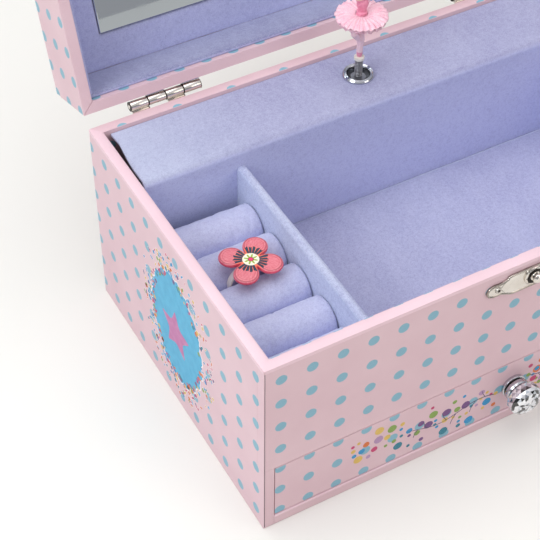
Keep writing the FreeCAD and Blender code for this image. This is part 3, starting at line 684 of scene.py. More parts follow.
def wall_velour():
    top = bx("wall_linings")[1][2]
    (_, yf, z0), _ = bx("wall_linings")
    xi = HW - T
    py = bx("platform_cover")[0][1]
    parts_ = []
    for k, (a, b, c, d) in enumerate(((-xi + 1.5, xi - 1.5, yf + 0.02, yf + 1.5), (-xi + 0.02, -xi + 1.5, yf + 0.02, py), (xi - 1.5, xi - 0.02, yf + 0.02, py))):
        w_, d_ = b - a, d - c
        parts_.append(rounded_box("wl%d" % k, a, b, c, d, z0, top, 0.55, M_VEL, max(2, int(w_ / 4)), max(2, int(d_ / 4)), 12, 0.10, k + 1.0))
    bpy.ops.object.select_all(action="DESELECT")
    bpy.context.view_layer.objects.active = parts_[0]
    for p in parts_:
        p.select_set(True)
    bpy.ops.object.join()
    o = bpy.context.object
    o.name = "wall_velour"
    bpy.ops.object.select_all(action="DESELECT")
    return grab(o, "case", "wall_linings", slot="velour")


def platform_velour():
    (x0, y0, z0), (x1, y1, z1) = bx("platform_cover")
    t = 1.6
    prof = [(y0, z0 + 0.3)]
    r = 3.4
    k_ = 22
    for k in range(1, k_):
        prof.append((y0, z0 + (z1 - r - z0) * k / k_))
    for k in range(13):
        a = pi / 2 * k / 12
        prof.append((y0 + r - r * cos(a), z1 - r + r * sin(a)))
    for k in range(1, 19):
        prof.append((y0 + r + (y1 - 0.3 - y0 - r) * k / 18, z1))
    n_ = 190
    verts, faces = [], []
    cyh = (bx("cup_ring")[0][1] + bx("cup_ring")[1][1]) / 2
    for i in range(n_ + 1):
        xs = x0 + (x1 - x0) * i / n_
        for k, (y, z) in enumerate(prof):
            front = k < k_
            x = xs
            if not front and i < 24:
                pull = 0.0
                for (ya, wa), (yb, wb) in (((48.0, 0.0), (54.0, 0.5)), ((54.0, 0.5), (64.5, 1.75)), ((64.5, 1.75), (71.0, 1.2)), ((71.0, 1.2), (76.5, 0.8))):
                    if ya <= y < yb:
                        pull = wa + (wb - wa) * (y - ya) / (yb - ya)
                x = xs + pull * (1.0 - i / 24.0) ** 2
            soft = 0.30 * nz(x, y, z, 0.022, 5) + 0.12 * nz(x, y, z, 0.09, 2) + 0.04 * nz(x, y, z, 0.35, 7)
            # the fold is stuffed a little unevenly
            crown = 0.45 * math.exp(-((k - k_ - 6) / 5.0) ** 2) * (0.4 + 0.6 * nz(x, 0, 0, 0.05, 4))
            flat = 1.0
            if not front:
                dd = sqrt(x * x + (y - cyh) ** 2)
                flat = min(1.0, max(0.0, (dd - 6.5) / 8.0))
            ny2, nz2 = (-1, 0) if front else ((0, 1) if k >= k_ + 13 else (-cos(pi / 2 * (k - k_) / 12), sin(pi / 2 * (k - k_) / 12)))
            dsp = (soft * 0.5 - 0.12) * flat + crown * 0.6
            if front and z < z0 + 3.0:
                dsp *= (z - z0) / 3.0
            verts.append((x, y + ny2 * dsp, z + nz2 * dsp))
    m_ = len(prof)
    for i in range(n_):
        for k in range(m_ - 1):
            a = i * m_ + k
            faces.append((a, a + m_, a + m_ + 1, a + 1))
    o = obj("platform_velour", verts, faces, M_VEL_PLAT)
    # faces point out of the box's inside: up and to the front
    if o.data.polygons[len(o.data.polygons) // 2].normal.z + 0 < 0 or o.data.polygons[0].normal.y > 0:
        o.data.flip_normals()
    s = o.modifiers.new("s", "SOLIDIFY")
    s.thickness, s.offset, s.use_even_offset = 1.3 * MM, -1.0, True
    apply_mods(o)
    bm = bmesh.new()
    bmesh.ops.create_cone(bm, cap_ends=True, segments=64, radius1=5.72 * MM, radius2=5.72 * MM, depth=12 * MM)
    me = bpy.data.meshes.new("cutter")
    for v in bm.verts:
        v.co += Vector((0, cyh * MM, z1 * MM))
    bm.to_mesh(me)
    c = bpy.data.objects.new("cutter", me)
    SC.collection.objects.link(c)
    b = o.modifiers.new("b", "BOOLEAN")
    b.operation, b.object, b.solver = "DIFFERENCE", c, "EXACT"
    apply_mods(o)
    bpy.data.objects.remove(c)
    o.data.polygons.foreach_set("use_smooth", [True] * len(o.data.polygons))
    sharp_by_angle(o.data, 50)
    return grab(o, "case", "platform_cover", slot="velour")


def divider_velour():
    (x0, y0, z0), (x1, y1, z1) = bx("divider")
    cx, w = (x0 + x1) / 2, (x1 - x0) / 2
    rings = []
    m_ = 70
    for i in range(m_ + 1):
        y = y0 + 0.05 + (y1 - y0 - 0.1) * i / m_
        e = min(y - y0, y1 - y)
        top = z1 - 0.5 * math.exp(-e / 1.6) + 0.22 * nz(0, y, 0, 0.06, 8)
        ring = []
        ww = w - 0.12 + 0.12 * nz(3, y, 0, 0.05, 1)
        pts = [(-ww, z0 + 0.02)]
        for k in range(1, 14):
            z = z0 + (top - w * 0.95 - z0) * k / 14
            pts.append((-ww + 0.10 * sin(pi * k / 14) * nz(7, y, z, 0.05, 3), z))
        for k in range(13):
            a = pi * (1 - k / 12)
            pts.append((ww * cos(a), top - w * 0.95 + w * 0.95 * sin(a)))
        for k in range(13, 0, -1):
            z = z0 + (top - w * 0.95 - z0) * k / 14
            pts.append((ww - 0.10 * sin(pi * k / 14) * nz(17, y, z, 0.05, 3), z))
        pts.append((ww, z0 + 0.02))
        rings.append([(cx + px, y, pz) for px, pz in pts])
    o = loft("divider_velour", rings, M_VEL_DIV, angle=60)
    return grab(o, "case", "divider", slot="foam_velour")


ROLLS = (-60.1, -40.2, -19.9, 0.4, 20.5)


def stuff(verts, faces, pinned, grow=0.03, pressure=4.0, frames=20, cap=0.7, share=0.6):
    """a filled cover, simulated: cloth cut a little too large, held where it is glued, pushed out by its filling"""
    S = 0.01        # ten times life size, where the solver is steadier
    me = bpy.data.meshes.new("stuffing")
    me.from_pydata([(x * S, y * S, z * S) for x, y, z in verts], [], faces)
    bm = bmesh.new()
    bm.from_mesh(me)
    bmesh.ops.recalc_face_normals(bm, faces=bm.faces)
    bm.to_mesh(me)
    bm.free()
    ob = bpy.data.objects.new("stuffing", me)
    SC.collection.objects.link(ob)
    ob.vertex_groups.new(name="pin").add(pinned, 1.0, "REPLACE")
    m = ob.modifiers.new("cloth", "CLOTH")
    cs = m.settings
    cs.vertex_group_mass = "pin"
    cs.quality, cs.mass, cs.air_damping = 5, 0.15, 2.0
    cs.tension_stiffness = cs.compression_stiffness = 25.0
    cs.shear_stiffness = 8.0
    cs.bending_stiffness = 0.15
    cs.use_pressure, cs.uniform_pressure_force = True, pressure
    cs.shrink_min = -grow
    cs.effector_weights.gravity = 0.0
    m.collision_settings.use_collision = False
    m.point_cache.frame_start, m.point_cache.frame_end = 1, frames
    for f in range(1, frames + 1):
        SC.frame_set(f)
    ev = ob.evaluated_get(bpy.context.evaluated_depsgraph_get())
    out = []
    for (x, y, z), v in zip(verts, ev.data.vertices):
        d = v.co / S - Vector((x, y, z))
        if d.length > cap:
            d = d * (cap / d.length)
        out.append((x + d.x * share, y + d.y * share, z + d.z * share))
    bpy.data.objects.remove(ob)
    SC.frame_set(1)
    return out
def rolls_velour():
    (x0, y0, z0), (x1, y1, z1) = bx("ring_rolls")
    R = (z1 - z0) / 2
    zc = z1 - R
    nseg, nl = 72, 60
    all_v, all_f = [], []
    for q in range(5):
        yc = ROLLS[q]
        V, F = [], []
        for i in range(nl + 1):
            x = x0 + (x1 - x0) * i / nl
            e = min(x - x0, x1 - x)
            rr = R - 0.36
            if e < 1.3:
                rr += -1.3 + sqrt(max(0.0, 1.3 ** 2 - (1.3 - e) ** 2))
            for k in range(nseg):
                a = 2 * pi * k / nseg
                dy, dz = sin(a), cos(a)
                # foam is never quite round, and the cloth is gathered in at each end
                lump = 0.16 * nz(x, dy * 9 + q * 31, dz * 9, 0.07, 2 + q) + 0.06 * nz(x, dy * 9, dz * 9 + q * 17, 0.25, q)
                r_ = rr + lump + 0.12 * math.exp(-e / 2.2) * sin(a * 23 + q)
                V.append((x, yc + r_ * dy, zc + r_ * dz))
        for i in range(nl):
            for k in range(nseg):
                k1 = (k + 1) % nseg
                F.append((i * nseg + k, i * nseg + k1, (i + 1) * nseg + k1, (i + 1) * nseg + k))
        b = len(V)
        V += [(x0 + 0.3, yc, zc), (x1 - 0.3, yc, zc)]
        for k in range(nseg):
            k1 = (k + 1) % nseg
            F.append((k, k1, b))
            F.append((nl * nseg + k, nl * nseg + k1, b + 1))
        V = stuff(V, F, [i for i, v in enumerate(V) if min(v[0] - x0, x1 - v[0]) < 0.9])
        # the rolls press flat against each other and on their bed
        base = len(all_v)
        for x, y, z in V:
            y = max(yc - 9.9 if q else y0 + 0.05, min(yc + (9.9 if q < 4 else 11), y))
            all_v.append((min(max(x, x0 + 0.01), x1 - 0.01), y, min(max(z, z0 + 0.05), z1 + 0.15)))
        all_f += [tuple(base + v for v in f) for f in F]
    o = obj("ring_rolls_velour", all_v, all_f, M_VEL_PAD)
    bm = bmesh.new()
    bm.from_mesh(o.data)
    bmesh.ops.recalc_face_normals(bm, faces=bm.faces)
    bm.to_mesh(o.data)
    bm.free()
    return grab(o, "case", "ring_rolls", slot="foam_velour")


def riser_velour():
    (x0, y0, z0), (x1, y1, z1) = bx("roll_riser")
    o = rounded_box("roll_riser_velour", x0 + 0.05, x1 - 0.05, y0 + 0.05, y1 - 0.1, z0, z1 - 0.05, 1.0, M_VEL_PAD, 12, 26, 4, 0.10, 4.0)
    return grab(o, "case", "roll_riser", slot="foam_velour")


floor_velour()
wall_velour()
platform_velour()
divider_velour()
rolls_velour()
riser_velour()


# ------------------------------------------------------------------ lavender lining of the lid
def lid_velour():
    """strips on the four sides and the covered card round the mirror, made with the lid shut and then opened"""
    ix, iy = HW - T, HD - T
    L0 = H + 0.5
    z0, z1 = L0 + 3.5, L0 + 33.0 - 4.8
    t = 2.0
    verts, faces = [], []
    n_side = (110, 70, 110, 70)
    cnt = sum(n_side)

    def frame_rings(rings, seed):
        base = len(verts)
        for ri, (ax, ay, z) in enumerate(rings):
            X, Y = ix - ax, iy - ay
            cs = [(-X, -Y), (X, -Y), (X, Y), (-X, Y)]
            for s_ in range(4):
                a, b = cs[s_], cs[(s_ + 1) % 4]
                for k in range(n_side[s_]):
                    f_ = k / n_side[s_]
                    x, y = a[0] + (b[0] - a[0]) * f_, a[1] + (b[1] - a[1]) * f_
                    q = min(1.0, min(f_, 1 - f_) * 12)
                    w_ = 0.16 * q * noise.noise(Vector((x * 0.05 + seed, y * 0.05, z * 0.08)))
                    nx_, ny_ = (0, 1) if s_ == 0 else ((-1, 0) if s_ == 1 else ((0, -1) if s_ == 2 else (1, 0)))
                    if ax > t - 0.7 and ax < t + 0.3:
                        x, y = x + nx_ * w_, y + ny_ * w_
                    elif ax >= t + 0.3 and z < z1 - 1.0:
                        z_ = z - w_ * 0.8
                        verts.append((x, y, z_))
                        continue
                    verts.append((x, y, z))
        m_ = len(rings)
        for i in range(m_):
            j2 = (i + 1) % m_
            for k in range(cnt):
                k1 = (k + 1) % cnt
                faces.append((base + i * cnt + k, base + i * cnt + k1, base + j2 * cnt + k1, base + j2 * cnt + k))
    R_ = [(0.02, z0 + 0.5), (0.35, z0 + 0.1), (1.0, z0), (t - 0.5, z0 + 0.12), (t - 0.12, z0 + 0.55), (t, z0 + 1.3)]
    R_ += [(t, z0 + 1.3 + (z1 - 3.2 - z0) * k / 6) for k in range(1, 7)] + [(0.02, z1 - 1.7)]
    frame_rings([(a, a, z) for a, z in R_], 1.0)
    mxx, mxy = ix - 97.0, iy - 54.0
    fr = [(t + 0.02, t + 0.02, z1 - 0.05), (t + 0.02, t + 0.02, z1 - 1.6)]
    for k in range(1, 8):
        f_ = k / 8
        fr.append((t + (mxx - 0.9 - t) * f_, t + (mxy - 0.9 - t) * f_, z1 - 1.75))
    fr += [(mxx - 0.9, mxy - 0.9, z1 - 1.7), (mxx - 0.3, mxy - 0.3, z1 - 1.4), (mxx, mxy, z1 - 0.9), (mxx, mxy, z1 - 0.05)]
    frame_rings(fr, 7.0)
    o = obj("lid_velour", verts, faces, M_VEL_LID, True, 48)
    at_open(o.data)
    return grab(o, "lid", "lid_lining", slot="velour")


lid_velour()


# ------------------------------------------------------------------ printed confetti and ovals, as thin films of ink
def ink(name, c, c2=None):
    g = G(name)
    P = g.pos()
    f = g.noise(P, 2400.0, 3.0, 0.6)
    cl = g.noise(P, 260.0, 2.0)
    base = g.mix(g.lin(cl, 0.3, 0.7, 0.0, 1.0), c, c2 or tuple(min(1.0, q * 1.12) for q in c[:3]) + (1.0,))
    base = g.mix(g.lin(f, 0.42, 0.72, 0.0, 0.10), base, srgb(246, 226, 232))
    return g.set(color=base, rough=g.lin(f, 0.3, 0.7, 0.40, 0.54), normal=g.bump(f, 0.08, 0.00005), spec=0.35)


INK = {"o": ink("ink_orange", srgb(208, 106, 38)), "g": ink("ink_green", srgb(124, 154, 66)), "m": ink("ink_magenta", srgb(190, 46, 102)),
       "p": ink("ink_purple", srgb(108, 64, 122)), "b": ink("ink_blue", srgb(0, 138, 190)), "t": ink("ink_teal", srgb(8, 118, 138)),
       "y": ink("ink_yellow", srgb(212, 176, 84)), "l": ink("ink_lilac", srgb(172, 136, 172)), "w": ink("ink_twig", srgb(76, 66, 96)),
       "c": ink("ink_cyan", srgb(56, 164, 204), srgb(72, 178, 214)), "s": ink("ink_pink", srgb(184, 100, 156), srgb(196, 122, 170)), "k": ink("ink_cream", srgb(242, 230, 226)), "e": ink("paper_cut_edge", srgb(84, 66, 78))}
KEYS = list(INK)


class Print:
    """flat closed films laid on a plane: to3(u, v, h) gives the place of a point at height h above the surface"""
    def __init__(s, to3):
        s.v, s.f, s.m, s.to3 = [], [], [], to3

    def poly(s, pts, h, key, deep=0.03):
        n_ = len(pts)
        b = len(s.v)
        s.v += [s.to3(u, v, h) for u, v in pts] + [s.to3(u, v, -deep) for u, v in pts]
        cu, cv = sum(p[0] for p in pts) / n_, sum(p[1] for p in pts) / n_
        s.v += [s.to3(cu, cv, h), s.to3(cu, cv, -deep)]
        for k in range(n_):
            k1 = (k + 1) % n_
            s.f += [(b + k, b + k1, b + 2 * n_), (b + n_ + k1, b + n_ + k, b + 2 * n_ + 1), (b + k, b + n_ + k, b + n_ + k1, b + k1)]
            s.m += [KEYS.index(key)] * 3

    def disc(s, u, v, r, h, key, seed=0.0, n_=22):
        s.poly([(u + r * (1 + 0.03 * sin(3 * t + seed)) * cos(t), v + r * (1 + 0.03 * cos(2 * t + seed)) * sin(t)) for t in (2 * pi * k / n_ for k in range(n_))], h, key)

    def line(s, pts, w0, w1, h, key):
        """a tapering ribbon through the points, smoothed"""
        P_ = [Vector(p) for p in pts]
        fine = []
        for i in range(len(P_) - 1):
            p0, p1, p2, p3 = P_[max(0, i - 1)], P_[i], P_[i + 1], P_[min(len(P_) - 1, i + 2)]
            for k in range(5):
                t = k / 5
                fine.append(0.5 * ((2 * p1) + (p2 - p0) * t + (2 * p0 - 5 * p1 + 4 * p2 - p3) * t * t + (3 * p1 - p0 - 3 * p2 + p3) * t ** 3))
        fine.append(P_[-1])
        L, Rr = [], []
        for i, p in enumerate(fine):
            d = (fine[min(i + 1, len(fine) - 1)] - fine[max(i - 1, 0)]).normalized()
            nn = Vector((-d.y, d.x))
            w = (w0 + (w1 - w0) * i / (len(fine) - 1)) / 2
            L.append(p + nn * w)
            Rr.append(p - nn * w)
        b, n_ = len(s.v), len(fine)
        for i in range(n_):
            s.v += [s.to3(L[i].x, L[i].y, h), s.to3(Rr[i].x, Rr[i].y, h), s.to3(Rr[i].x, Rr[i].y, -0.03), s.to3(L[i].x, L[i].y, -0.03)]
        for i in range(n_ - 1):
            a, c = b + 4 * i, b + 4 * (i + 1)
            s.f += [(a + q, c + q, c + (q + 1) % 4, a + (q + 1) % 4) for q in range(4)]
            s.m += [KEYS.index(key)] * 4
        s.f += [(b, b + 1, b + 2, b + 3), (b + 4 * n_ - 4, b + 4 * n_ - 3, b + 4 * n_ - 2, b + 4 * n_ - 1)]
        s.m += [KEYS.index(key)] * 2

    def make(s, name, body, slot="paper_pink"):
        used = sorted(set(s.m))
        o = obj(name, s.v, s.f, [INK[KEYS[i]] for i in used], False)
        order = {q: i for i, q in enumerate(used)}
        # recalc keeps face order, so the slots still line up
        for p, q in zip(o.data.polygons, s.m):
            p.material_index = order[q]
        return grab(o, body, slot=slot)


def confetti():
    """a generated scatter of discs that don't overlap, and a wavy twig with side shoots: own design, seeded"""
    rng = random.Random(23)
    (_, _, z0), (_, _, z1) = bx("drawer_front")
    out = []
    for _ in range(5000):
        if len(out) >= 54:
            break
        f = rng.random()
        x = -8.0 - 72.0 * f
        d = (5.0, 5.0, 3.6, 2.6, 2.0, 2.0)[rng.randrange(6)]
        z = 21.5 - 1.6 * sin(f * 5.0) + (rng.random() + rng.random() - 1.0) * (12.5 - 3.5 * f)
        c = "ogmpbtyl"[rng.randrange(8)]
        if z0 + 1.0 < z - d / 2 and z + d / 2 < z1 - 1.0 and all((x - p) ** 2 + (z - q) ** 2 > ((d + e) / 2 * 0.87 + 0.35) ** 2 for p, q, _, e in out):
            out.append((x, z, c, d))
    main = [(-9.0 - 4.8 * i, 20.2 + 2.3 * sin(i * 0.75 + 0.4)) for i in range(10)]
    twigs = [main]
    for i in (1, 2, 4, 5, 7, 8):
        x, z = main[i]
        up = 1.0 if i % 2 else -1.0
        n_ = 4.2 + 1.8 * rng.random()
        twigs.append([(x, z), (x - 0.30 * n_, z + up * 0.55 * n_), (x - 0.42 * n_, z + up * n_)])
    return out, twigs


CONF, TWIGS = confetti()


def drawer_print():
    yf = bx("drawer_front")[0][1]
    pr = Print(lambda u, v, h: (u, yf - h, v))
    lo, hi = bx("drawer_front")[0][2] + 0.4, bx("drawer_front")[1][2] - 0.4
    shift = {"o": "m", "m": "b", "b": "o", "g": "y", "y": "g", "p": "t", "t": "p", "l": "l"}
    for side in (1, -1):
        for i, (x, z, c, d) in enumerate(CONF):
            if side < 0:
                z = 44.2 - z - 0.9 * sin(i * 1.7)
                z = min(max(z, lo + d / 2), hi - d / 2)
                c = shift[c]
            if abs(x) < 6.3:
                continue
            pr.disc(x * side, z, d / 2 * 0.87, 0.030 + 0.004 * (i % 6), c, i * 0.7)
        for k, tw in enumerate(TWIGS):
            pts = [(x * side, z if side > 0 else 44.2 - z) for x, z in tw]
            pr.line(pts, 0.48 if k == 0 else 0.38, 0.22, 0.060 + 0.002 * k, "w")
    for i, (x, z, c, d) in enumerate([(11.3, 19.8, "m", 3.5), (12.7, 15.3, "y", 2.4), (15.1, 15.7, "g", 2.4), (12.4, 25.8, "b", 2.6), (14.0, 30.6, "o", 3.0)]):
        pr.disc(x, z, d / 2, 0.056, c, i)
    return pr.make("drawer_confetti", "drawer")


drawer_print()


def side_print(side):
    x0 = bx("left_wall")[0][0] if side < 0 else bx("right_wall")[1][0]
    pr = Print((lambda u, v, h: (x0 - h, u, v)) if side < 0 else (lambda u, v, h: (x0 + h, u, v)))
    rng = random.Random(41 if side < 0 else 42)
    cy, cz, A, B = -1.9, 47.8, 22.6, 30.6
    (_, w0, h0), (_, w1, h1) = bx("left_wall" if side < 0 else "right_wall")
    n_ = 220
    edge = lambda t, d=0.0: (cy + (A + d + 0.75 * sin(t * 19 + 0.6) + 0.35 * sin(t * 43)) * cos(t), cz + (B + d + 0.75 * sin(t * 19 + 0.6) + 0.35 * sin(t * 37 + 1)) * sin(t))
    pr.poly([edge(2 * pi * k / n_, 0.75) for k in range(n_)], 0.016, "k")
    pr.poly([edge(2 * pi * k / n_, 0.16) for k in range(n_)], 0.021, "b")
    pr.poly([edge(2 * pi * k / n_) for k in range(n_)], 0.026, "c")
    cols = "obmpbtyobcomgyb"
    for i in range(340):
        t = rng.random() * 2 * pi
        d = rng.random() ** 1.5 * 13.0 - 2.4
        r = (rng.random() * 0.55 + 0.62) * (1.0 if d < 6 else 0.8)
        c = cols[rng.randrange(len(cols))]
        u, v = cy + (A + d) * cos(t), cz + (B + d) * sin(t)
        dash = rng.random() < 0.4
        a = rng.random() * pi
        if not (w0 + 2 < u < w1 - 2 and h0 + 3 < v < h1 - 3):
            continue
        if dash:
            pts = [(u + q * r * 1.3 * cos(a), v + q * r * 1.3 * sin(a)) for q in (-1, 0, 1)]
            if d > 0.4:
                pr.line([(u + q * (r * 1.3 + 0.18) * cos(a), v + q * (r * 1.3 + 0.18) * sin(a)) for q in (-1, 0, 1)], r * 1.05 + 0.36, r * 0.95 + 0.36, 0.029, "k")
            pr.line(pts, r * 1.05, r * 0.95, 0.034 + 0.003 * (i % 9), c)
        else:
            if d > 0.4:
                pr.disc(u, v, r + 0.19, 0.029, "k", i, 12)
            pr.disc(u, v, r, 0.034 + 0.003 * (i % 9), c, i, 12)
    star = []
    for k in range(10):
        a = pi / 2 + pi * k / 5
        r = 13.1 if k % 2 == 0 else 6.1
        star.append((-1.1 + r * cos(a), 45.7 + r * sin(a)))
    soft = []
    for k in range(10):
        p, q, r_ = Vector(star[k - 1]), Vector(star[k]), Vector(star[(k + 1) % 10])
        f_ = 0.12 if k % 2 == 0 else 0.2
        soft += [tuple(q + (p - q) * f_), tuple(q + ((p - q) + (r_ - q)) * f_ * 0.28), tuple(q + (r_ - q) * f_)]
    pr.poly(soft, 0.064, "s")
    return pr.make("side_print_left" if side < 0 else "side_print_right", "case")


side_print(-1)
side_print(1)


def corner_seams():
    """the cut edge of the wrapping paper shows as a thin dark line down each front corner"""
    (_, y0, z0), (_, _, z1) = bx("front_panel")
    xs = bx("left_wall")[0][0], bx("right_wall")[1][0]
    y0 = min(y0, bx("left_wall")[0][1])
    pr = Print(lambda u, v, h: (u, y0 - h, v))
    rng = random.Random(77)
    for sgn, x in zip((1, -1), xs):
        zb, zt = bx("left_wall")[0][2] + 1.0, z1 - 1.6
        pts = [(x + sgn * (0.42 + 0.05 * rng.random()), zb + (zt - zb) * k / 14) for k in range(15)]
        pr.line(pts, 0.34, 0.26, 0.016, "e")
    return pr.make("corner_seams", "case")


corner_seams()

# ------------------------------------------------------------------ flower ring
def flower_mat(cx, cy, turn):
    g = G("flower_paint")
    x, y, z = g.sep(g.pos())
    x, y = g.m("SUBTRACT", g.m("MULTIPLY", x, 1000.0), cx), g.m("SUBTRACT", g.m("MULTIPLY", y, 1000.0), cy)
    r = g.m("SQRT", g.m("ADD", g.m("MULTIPLY", x, x), g.m("MULTIPLY", y, y)))
    a = g.m("ADD", g.m("ARCTAN2", y, x), 2 * pi - radians(turn) + pi / 4)
    loc = g.m("SUBTRACT", g.m("MODULO", a, pi / 2), pi / 4)                    # angle from the middle of a petal
    px = g.m("SUBTRACT", g.m("MULTIPLY", r, g.m("COSINE", loc)), 8.1)
    py = g.m("MULTIPLY", r, g.m("SINE", loc))
    dp = g.m("SQRT", g.m("ADD", g.m("MULTIPLY", px, px), g.m("MULTIPLY", py, py)))
    P = g.pos()
    wob = g.m("SUBTRACT", g.noise(P, 420.0, 2.0), 0.5)
    # brush streaks that run out along each petal
    streak = g.noise(g.comb(g.m("MULTIPLY", loc, 14.0), g.m("MULTIPLY", r, 0.35), z), 1.6, 4.0, 0.65)
    c = g.mix(g.lin(streak, 0.32, 0.68, 0.0, 1.0), srgb(211, 97, 111), srgb(227, 138, 147))
    c = g.mix(g.m("SUBTRACT", 1.0, g.step(g.m("ADD", r, g.m("MULTIPLY", wob, 2.0)), 5.2, 7.6)), c, srgb(238, 116, 84))
    # two dark printed lines inside the edge of the petal
    line = lambda d0, w_: g.m("MULTIPLY", g.step(g.m("ADD", dp, g.m("MULTIPLY", wob, 0.5)), d0 - w_, d0), g.m("SUBTRACT", 1.0, g.step(g.m("ADD", dp, g.m("MULTIPLY", wob, 0.5)), d0, d0 + w_)))
    c = g.mix(g.m("MULTIPLY", line(4.5, 0.42), 0.8), c, srgb(160, 48, 66))
    c = g.mix(g.m("MULTIPLY", line(3.45, 0.24), 0.5), c, srgb(190, 60, 78))
    # five navy ticks on each petal
    tk = g.m("FRACT", g.m("ADD", g.m("DIVIDE", loc, radians(14.5)), 10.5))
    tk = g.m("LESS_THAN", g.m("ABSOLUTE", g.m("SUBTRACT", tk, 0.5)), g.lin(r, 3.3, 7.0, 0.46, 0.34))
    tk = g.m("MULTIPLY", tk, g.m("LESS_THAN", g.m("ABSOLUTE", loc), radians(36)))
    far = g.m("ADD", 6.95, g.m("MULTIPLY", g.m("ADD", g.m("SINE", g.m("MULTIPLY", a, 17.0)), wob), 0.35))
    tk = g.m("MULTIPLY", tk, g.m("MULTIPLY", g.m("LESS_THAN", r, far), g.m("GREATER_THAN", r, 3.45)))
    c = g.mix(tk, c, srgb(28, 52, 74))
    # cream disc, green star, pink middle
    c = g.mix(g.m("SUBTRACT", 1.0, g.step(g.m("ADD", r, g.m("MULTIPLY", wob, 0.4)), 3.35, 3.5)), c, srgb(240, 238, 212))
    star = g.m("ADD", 2.0, g.m("MULTIPLY", g.m("COSINE", g.m("MULTIPLY", a, 8.0)), 0.95))
    c = g.mix(g.m("SUBTRACT", 1.0, g.step(g.m("SUBTRACT", r, star), -0.12, 0.12)), c, srgb(158, 176, 62))
    c = g.mix(g.m("SUBTRACT", 1.0, g.step(r, 1.15, 1.3)), c, srgb(116, 66, 52))
    c = g.mix(g.m("SUBTRACT", 1.0, g.step(r, 0.85, 1.0)), c, srgb(232, 50, 110))
    top = g.m("GREATER_THAN", g.sep(g.nrm())[2], 0.55)
    side = g.mix(g.lin(g.noise(P, 900.0, 3.0), 0.3, 0.7, 0.0, 1.0), srgb(214, 62, 84), srgb(238, 96, 112))
    c = g.mix(top, side, c)
    h = g.m("ADD", g.m("MULTIPLY", streak, 0.6), g.m("MULTIPLY", g.noise(P, 1400.0, 2.0), 0.4))
    return g.set(color=c, rough=g.lin(streak, 0.3, 0.7, 0.32, 0.5), normal=g.bump(h, 0.12, 0.0001), coat=0.25, coat_rough=0.25)


def flower():
    (x0, y0, z0), (x1, y1, z1) = bx("ring_flower")
    cx, cy = (x0 + x1) / 2, (y0 + y1) / 2
    turn = 49.0
    n_ = 288
    def rad(th):
        loc = (th - radians(turn) + pi / 4) % (pi / 2) - pi / 4
        s_ = 8.1 * sin(loc)
        best = 4.55
        if abs(s_) < 5.2:
            best = max(best, 8.1 * cos(loc) + sqrt(5.2 ** 2 - s_ * s_))
        return best
    R0 = [rad(2 * pi * k / n_) for k in range(n_)]
    # ease the notch between the petals a little
    R1 = R0[:]
    for _ in range(3):
        R1 = [0.25 * R1[k - 1] + 0.5 * R1[k] + 0.25 * R1[(k + 1) % n_] for k in range(n_)]
    def ring(off, z, f_=1.0):
        return [(cx + (R1[k] - off) * f_ * cos(2 * pi * k / n_), cy + (R1[k] - off) * f_ * sin(2 * pi * k / n_), z) for k in range(n_)]
    zb = z1 - 1.7
    rings = [ring(1.5, z0 + 0.2, 0.2), ring(1.3, z0 + 0.3, 0.5), ring(1.0, zb - 0.1, 0.8), ring(0.35, zb + 0.06), ring(0.06, zb + 0.26), ring(0.0, zb + 0.6), ring(0.02, z1 - 0.75), ring(0.14, z1 - 0.38), ring(0.42, z1 - 0.14), ring(0.85, z1 - 0.02),
             ring(0.85, z1 + 0.07, 0.85), ring(0.85, z1 + 0.10, 0.68), ring(0.85, z1 + 0.02, 0.5), ring(0.85, z1 - 0.05, 0.35), ring(0.85, z1 - 0.03, 0.18)]
    o = loft("ring_flower_painted", rings, flower_mat(cx, cy, turn), angle=70)
    return grab(o, "flower_ring", "ring_flower", slot="painted_wood")


flower()


